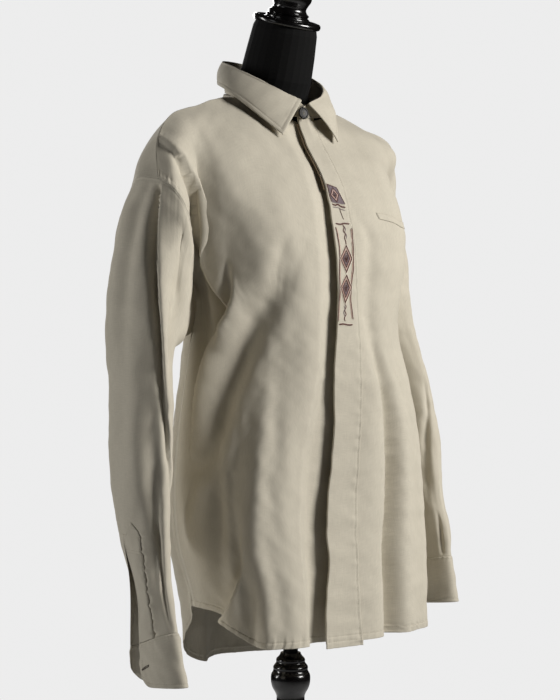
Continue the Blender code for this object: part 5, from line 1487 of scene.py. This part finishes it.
# The dark horn buttons, one at the collar and one at the pocket: turned with a rim round a dished middle,
# drilled with four holes and sewn on with pale thread.
horn, nodes, links, shader = finish("dark_horn_polish", (0.004, 0.0035, 0.003), 0.42)
streak = nodes.new("ShaderNodeTexNoise")
streak.inputs["Scale"].default_value = 260
streak.inputs["Distortion"].default_value = 1.5
links.new(mapped(nodes, links, "Object", (1, 0.3, 1)), streak.inputs["Vector"])
ramp = nodes.new("ShaderNodeValToRGB")
ramp.color_ramp.elements[0].color = (0.0025, 0.0022, 0.0020, 1)
ramp.color_ramp.elements[1].color = (0.009, 0.007, 0.005, 1)
links.new(streak.outputs["Fac"], ramp.inputs["Fac"])
links.new(ramp.outputs["Color"], shader.inputs["Base Color"])
button_thread, nodes, links, shader = finish("pale_button_thread", (0.50, 0.45, 0.36), 0.6, sheen=0.1)
mottled(nodes, links, shader, 900, (0.34, 0.30, 0.23), (0.56, 0.51, 0.41))

BUTTON_RADIUS, BUTTON_THICK = 0.0084, 0.0020
HOLE_APART, HOLE_RADIUS = 0.0011, 0.0006


def button(name, node, place, facing):
    bpy.ops.object.select_all(action="DESELECT")
    bpy.ops.mesh.primitive_cylinder_add(vertices=48, radius=BUTTON_RADIUS, depth=BUTTON_THICK,
                                        location=(0, 0, BUTTON_THICK / 2))
    made = bpy.context.object
    made.name = name
    bpy.ops.object.mode_set(mode="EDIT")
    bpy.ops.mesh.select_all(action="DESELECT")
    bpy.ops.object.mode_set(mode="OBJECT")
    for face in made.data.polygons:
        face.select = face.normal.z > 0.9
    bpy.ops.object.mode_set(mode="EDIT")
    bpy.ops.mesh.select_mode(type="FACE")
    bpy.ops.mesh.inset(thickness=0.0009)
    bpy.ops.transform.translate(value=(0, 0, 0.0006))
    bpy.ops.mesh.inset(thickness=0.0010)
    bpy.ops.mesh.inset(thickness=0.0007)
    bpy.ops.transform.translate(value=(0, 0, -0.0007))
    bpy.ops.object.mode_set(mode="OBJECT")
    bpy.ops.object.transform_apply(location=True, rotation=True, scale=True)
    rounding = made.modifiers.new("rounding", "BEVEL")
    rounding.width, rounding.segments, rounding.limit_method = 0.00025, 3, "ANGLE"
    bpy.ops.object.modifier_apply(modifier="rounding")
    for k in range(4):
        x, y = HOLE_APART * (-1 if k % 2 else 1), HOLE_APART * (-1 if k // 2 else 1)
        bpy.ops.object.select_all(action="DESELECT")
        bpy.ops.mesh.primitive_cylinder_add(vertices=16, radius=HOLE_RADIUS, depth=0.006,
                                            location=(x, y, 0.001))
        drill = bpy.context.object
        bpy.ops.object.transform_apply(location=True, rotation=True, scale=True)
        select_only(made)
        cut = made.modifiers.new("hole", "BOOLEAN")
        cut.operation, cut.solver, cut.object = "DIFFERENCE", "EXACT", drill
        bpy.ops.object.modifier_apply(modifier="hole")
        bpy.data.objects.remove(drill, do_unlink=True)
    select_only(made)
    bpy.ops.object.shade_smooth_by_angle(angle=np.radians(38))
    pose = Matrix.Translation(place) @ Vector(facing).to_track_quat("Z", "Y").to_matrix().to_4x4()
    made.data.transform(pose)
    made.data.materials.clear()
    made.data.materials.append(horn)
    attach(made, "root")
    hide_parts(node)
    strands = []
    turn = np.array(pose.to_3x3())
    for row in (-1, 1):
        for k in range(4):
            y = row * HOLE_APART + (k - 1.5) * 0.00030
            x = np.linspace(-HOLE_APART, HOLE_APART, 9)
            rise = 0.0014 + 0.0008 * np.sqrt(np.maximum(1 - (x / HOLE_APART) ** 2, 0))
            line = np.stack([x, np.full(9, y), rise], axis=1)
            line = np.array([pose @ Vector(p) for p in line])
            strands.append((line, np.repeat((turn @ [0, 0, 1])[None], 9, axis=0), 0.00020, 0.00026))
    strands_mesh(f"{name}_thread", strands, button_thread)


button("collar_button_turned", "collar_button", Vector((-0.0125, -0.0433, 1.3755)), (0.05, -0.97, 0.10))
POCKET_BUTTON_SHARE, POCKET_BUTTON_U = 0.617, 0.61
r = np.interp(POCKET_BUTTON_SHARE, UPPER_SHARES, np.arange(len(UPPER_SHARES)))
c = np.interp(POCKET_BUTTON_U, left_u, np.arange(len(left_u)))
spots, ways = places(left, [r], [c])
button("pocket_button_turned", "pocket_button", Vector(spots[0] + ways[0] * 0.0009), tuple(ways[0]))
# A cord loop of the shirt's own cotton runs from the welt round the button.
LOOP_RADIUS = 0.0093
turn = np.radians(np.linspace(-62, 242, 40))
loop_u = POCKET_BUTTON_U + LOOP_RADIUS / HALF_BREADTH * np.cos(turn)
loop_z = spots[0][2] + 0.0002 - LOOP_RADIUS * np.sin(turn)
line, facing = on_front(np.stack([loop_u, loop_z], axis=1), 0.0012)
strands_mesh("pocket_loop", [(line, facing, 0.0009, 0.0012)], cotton)
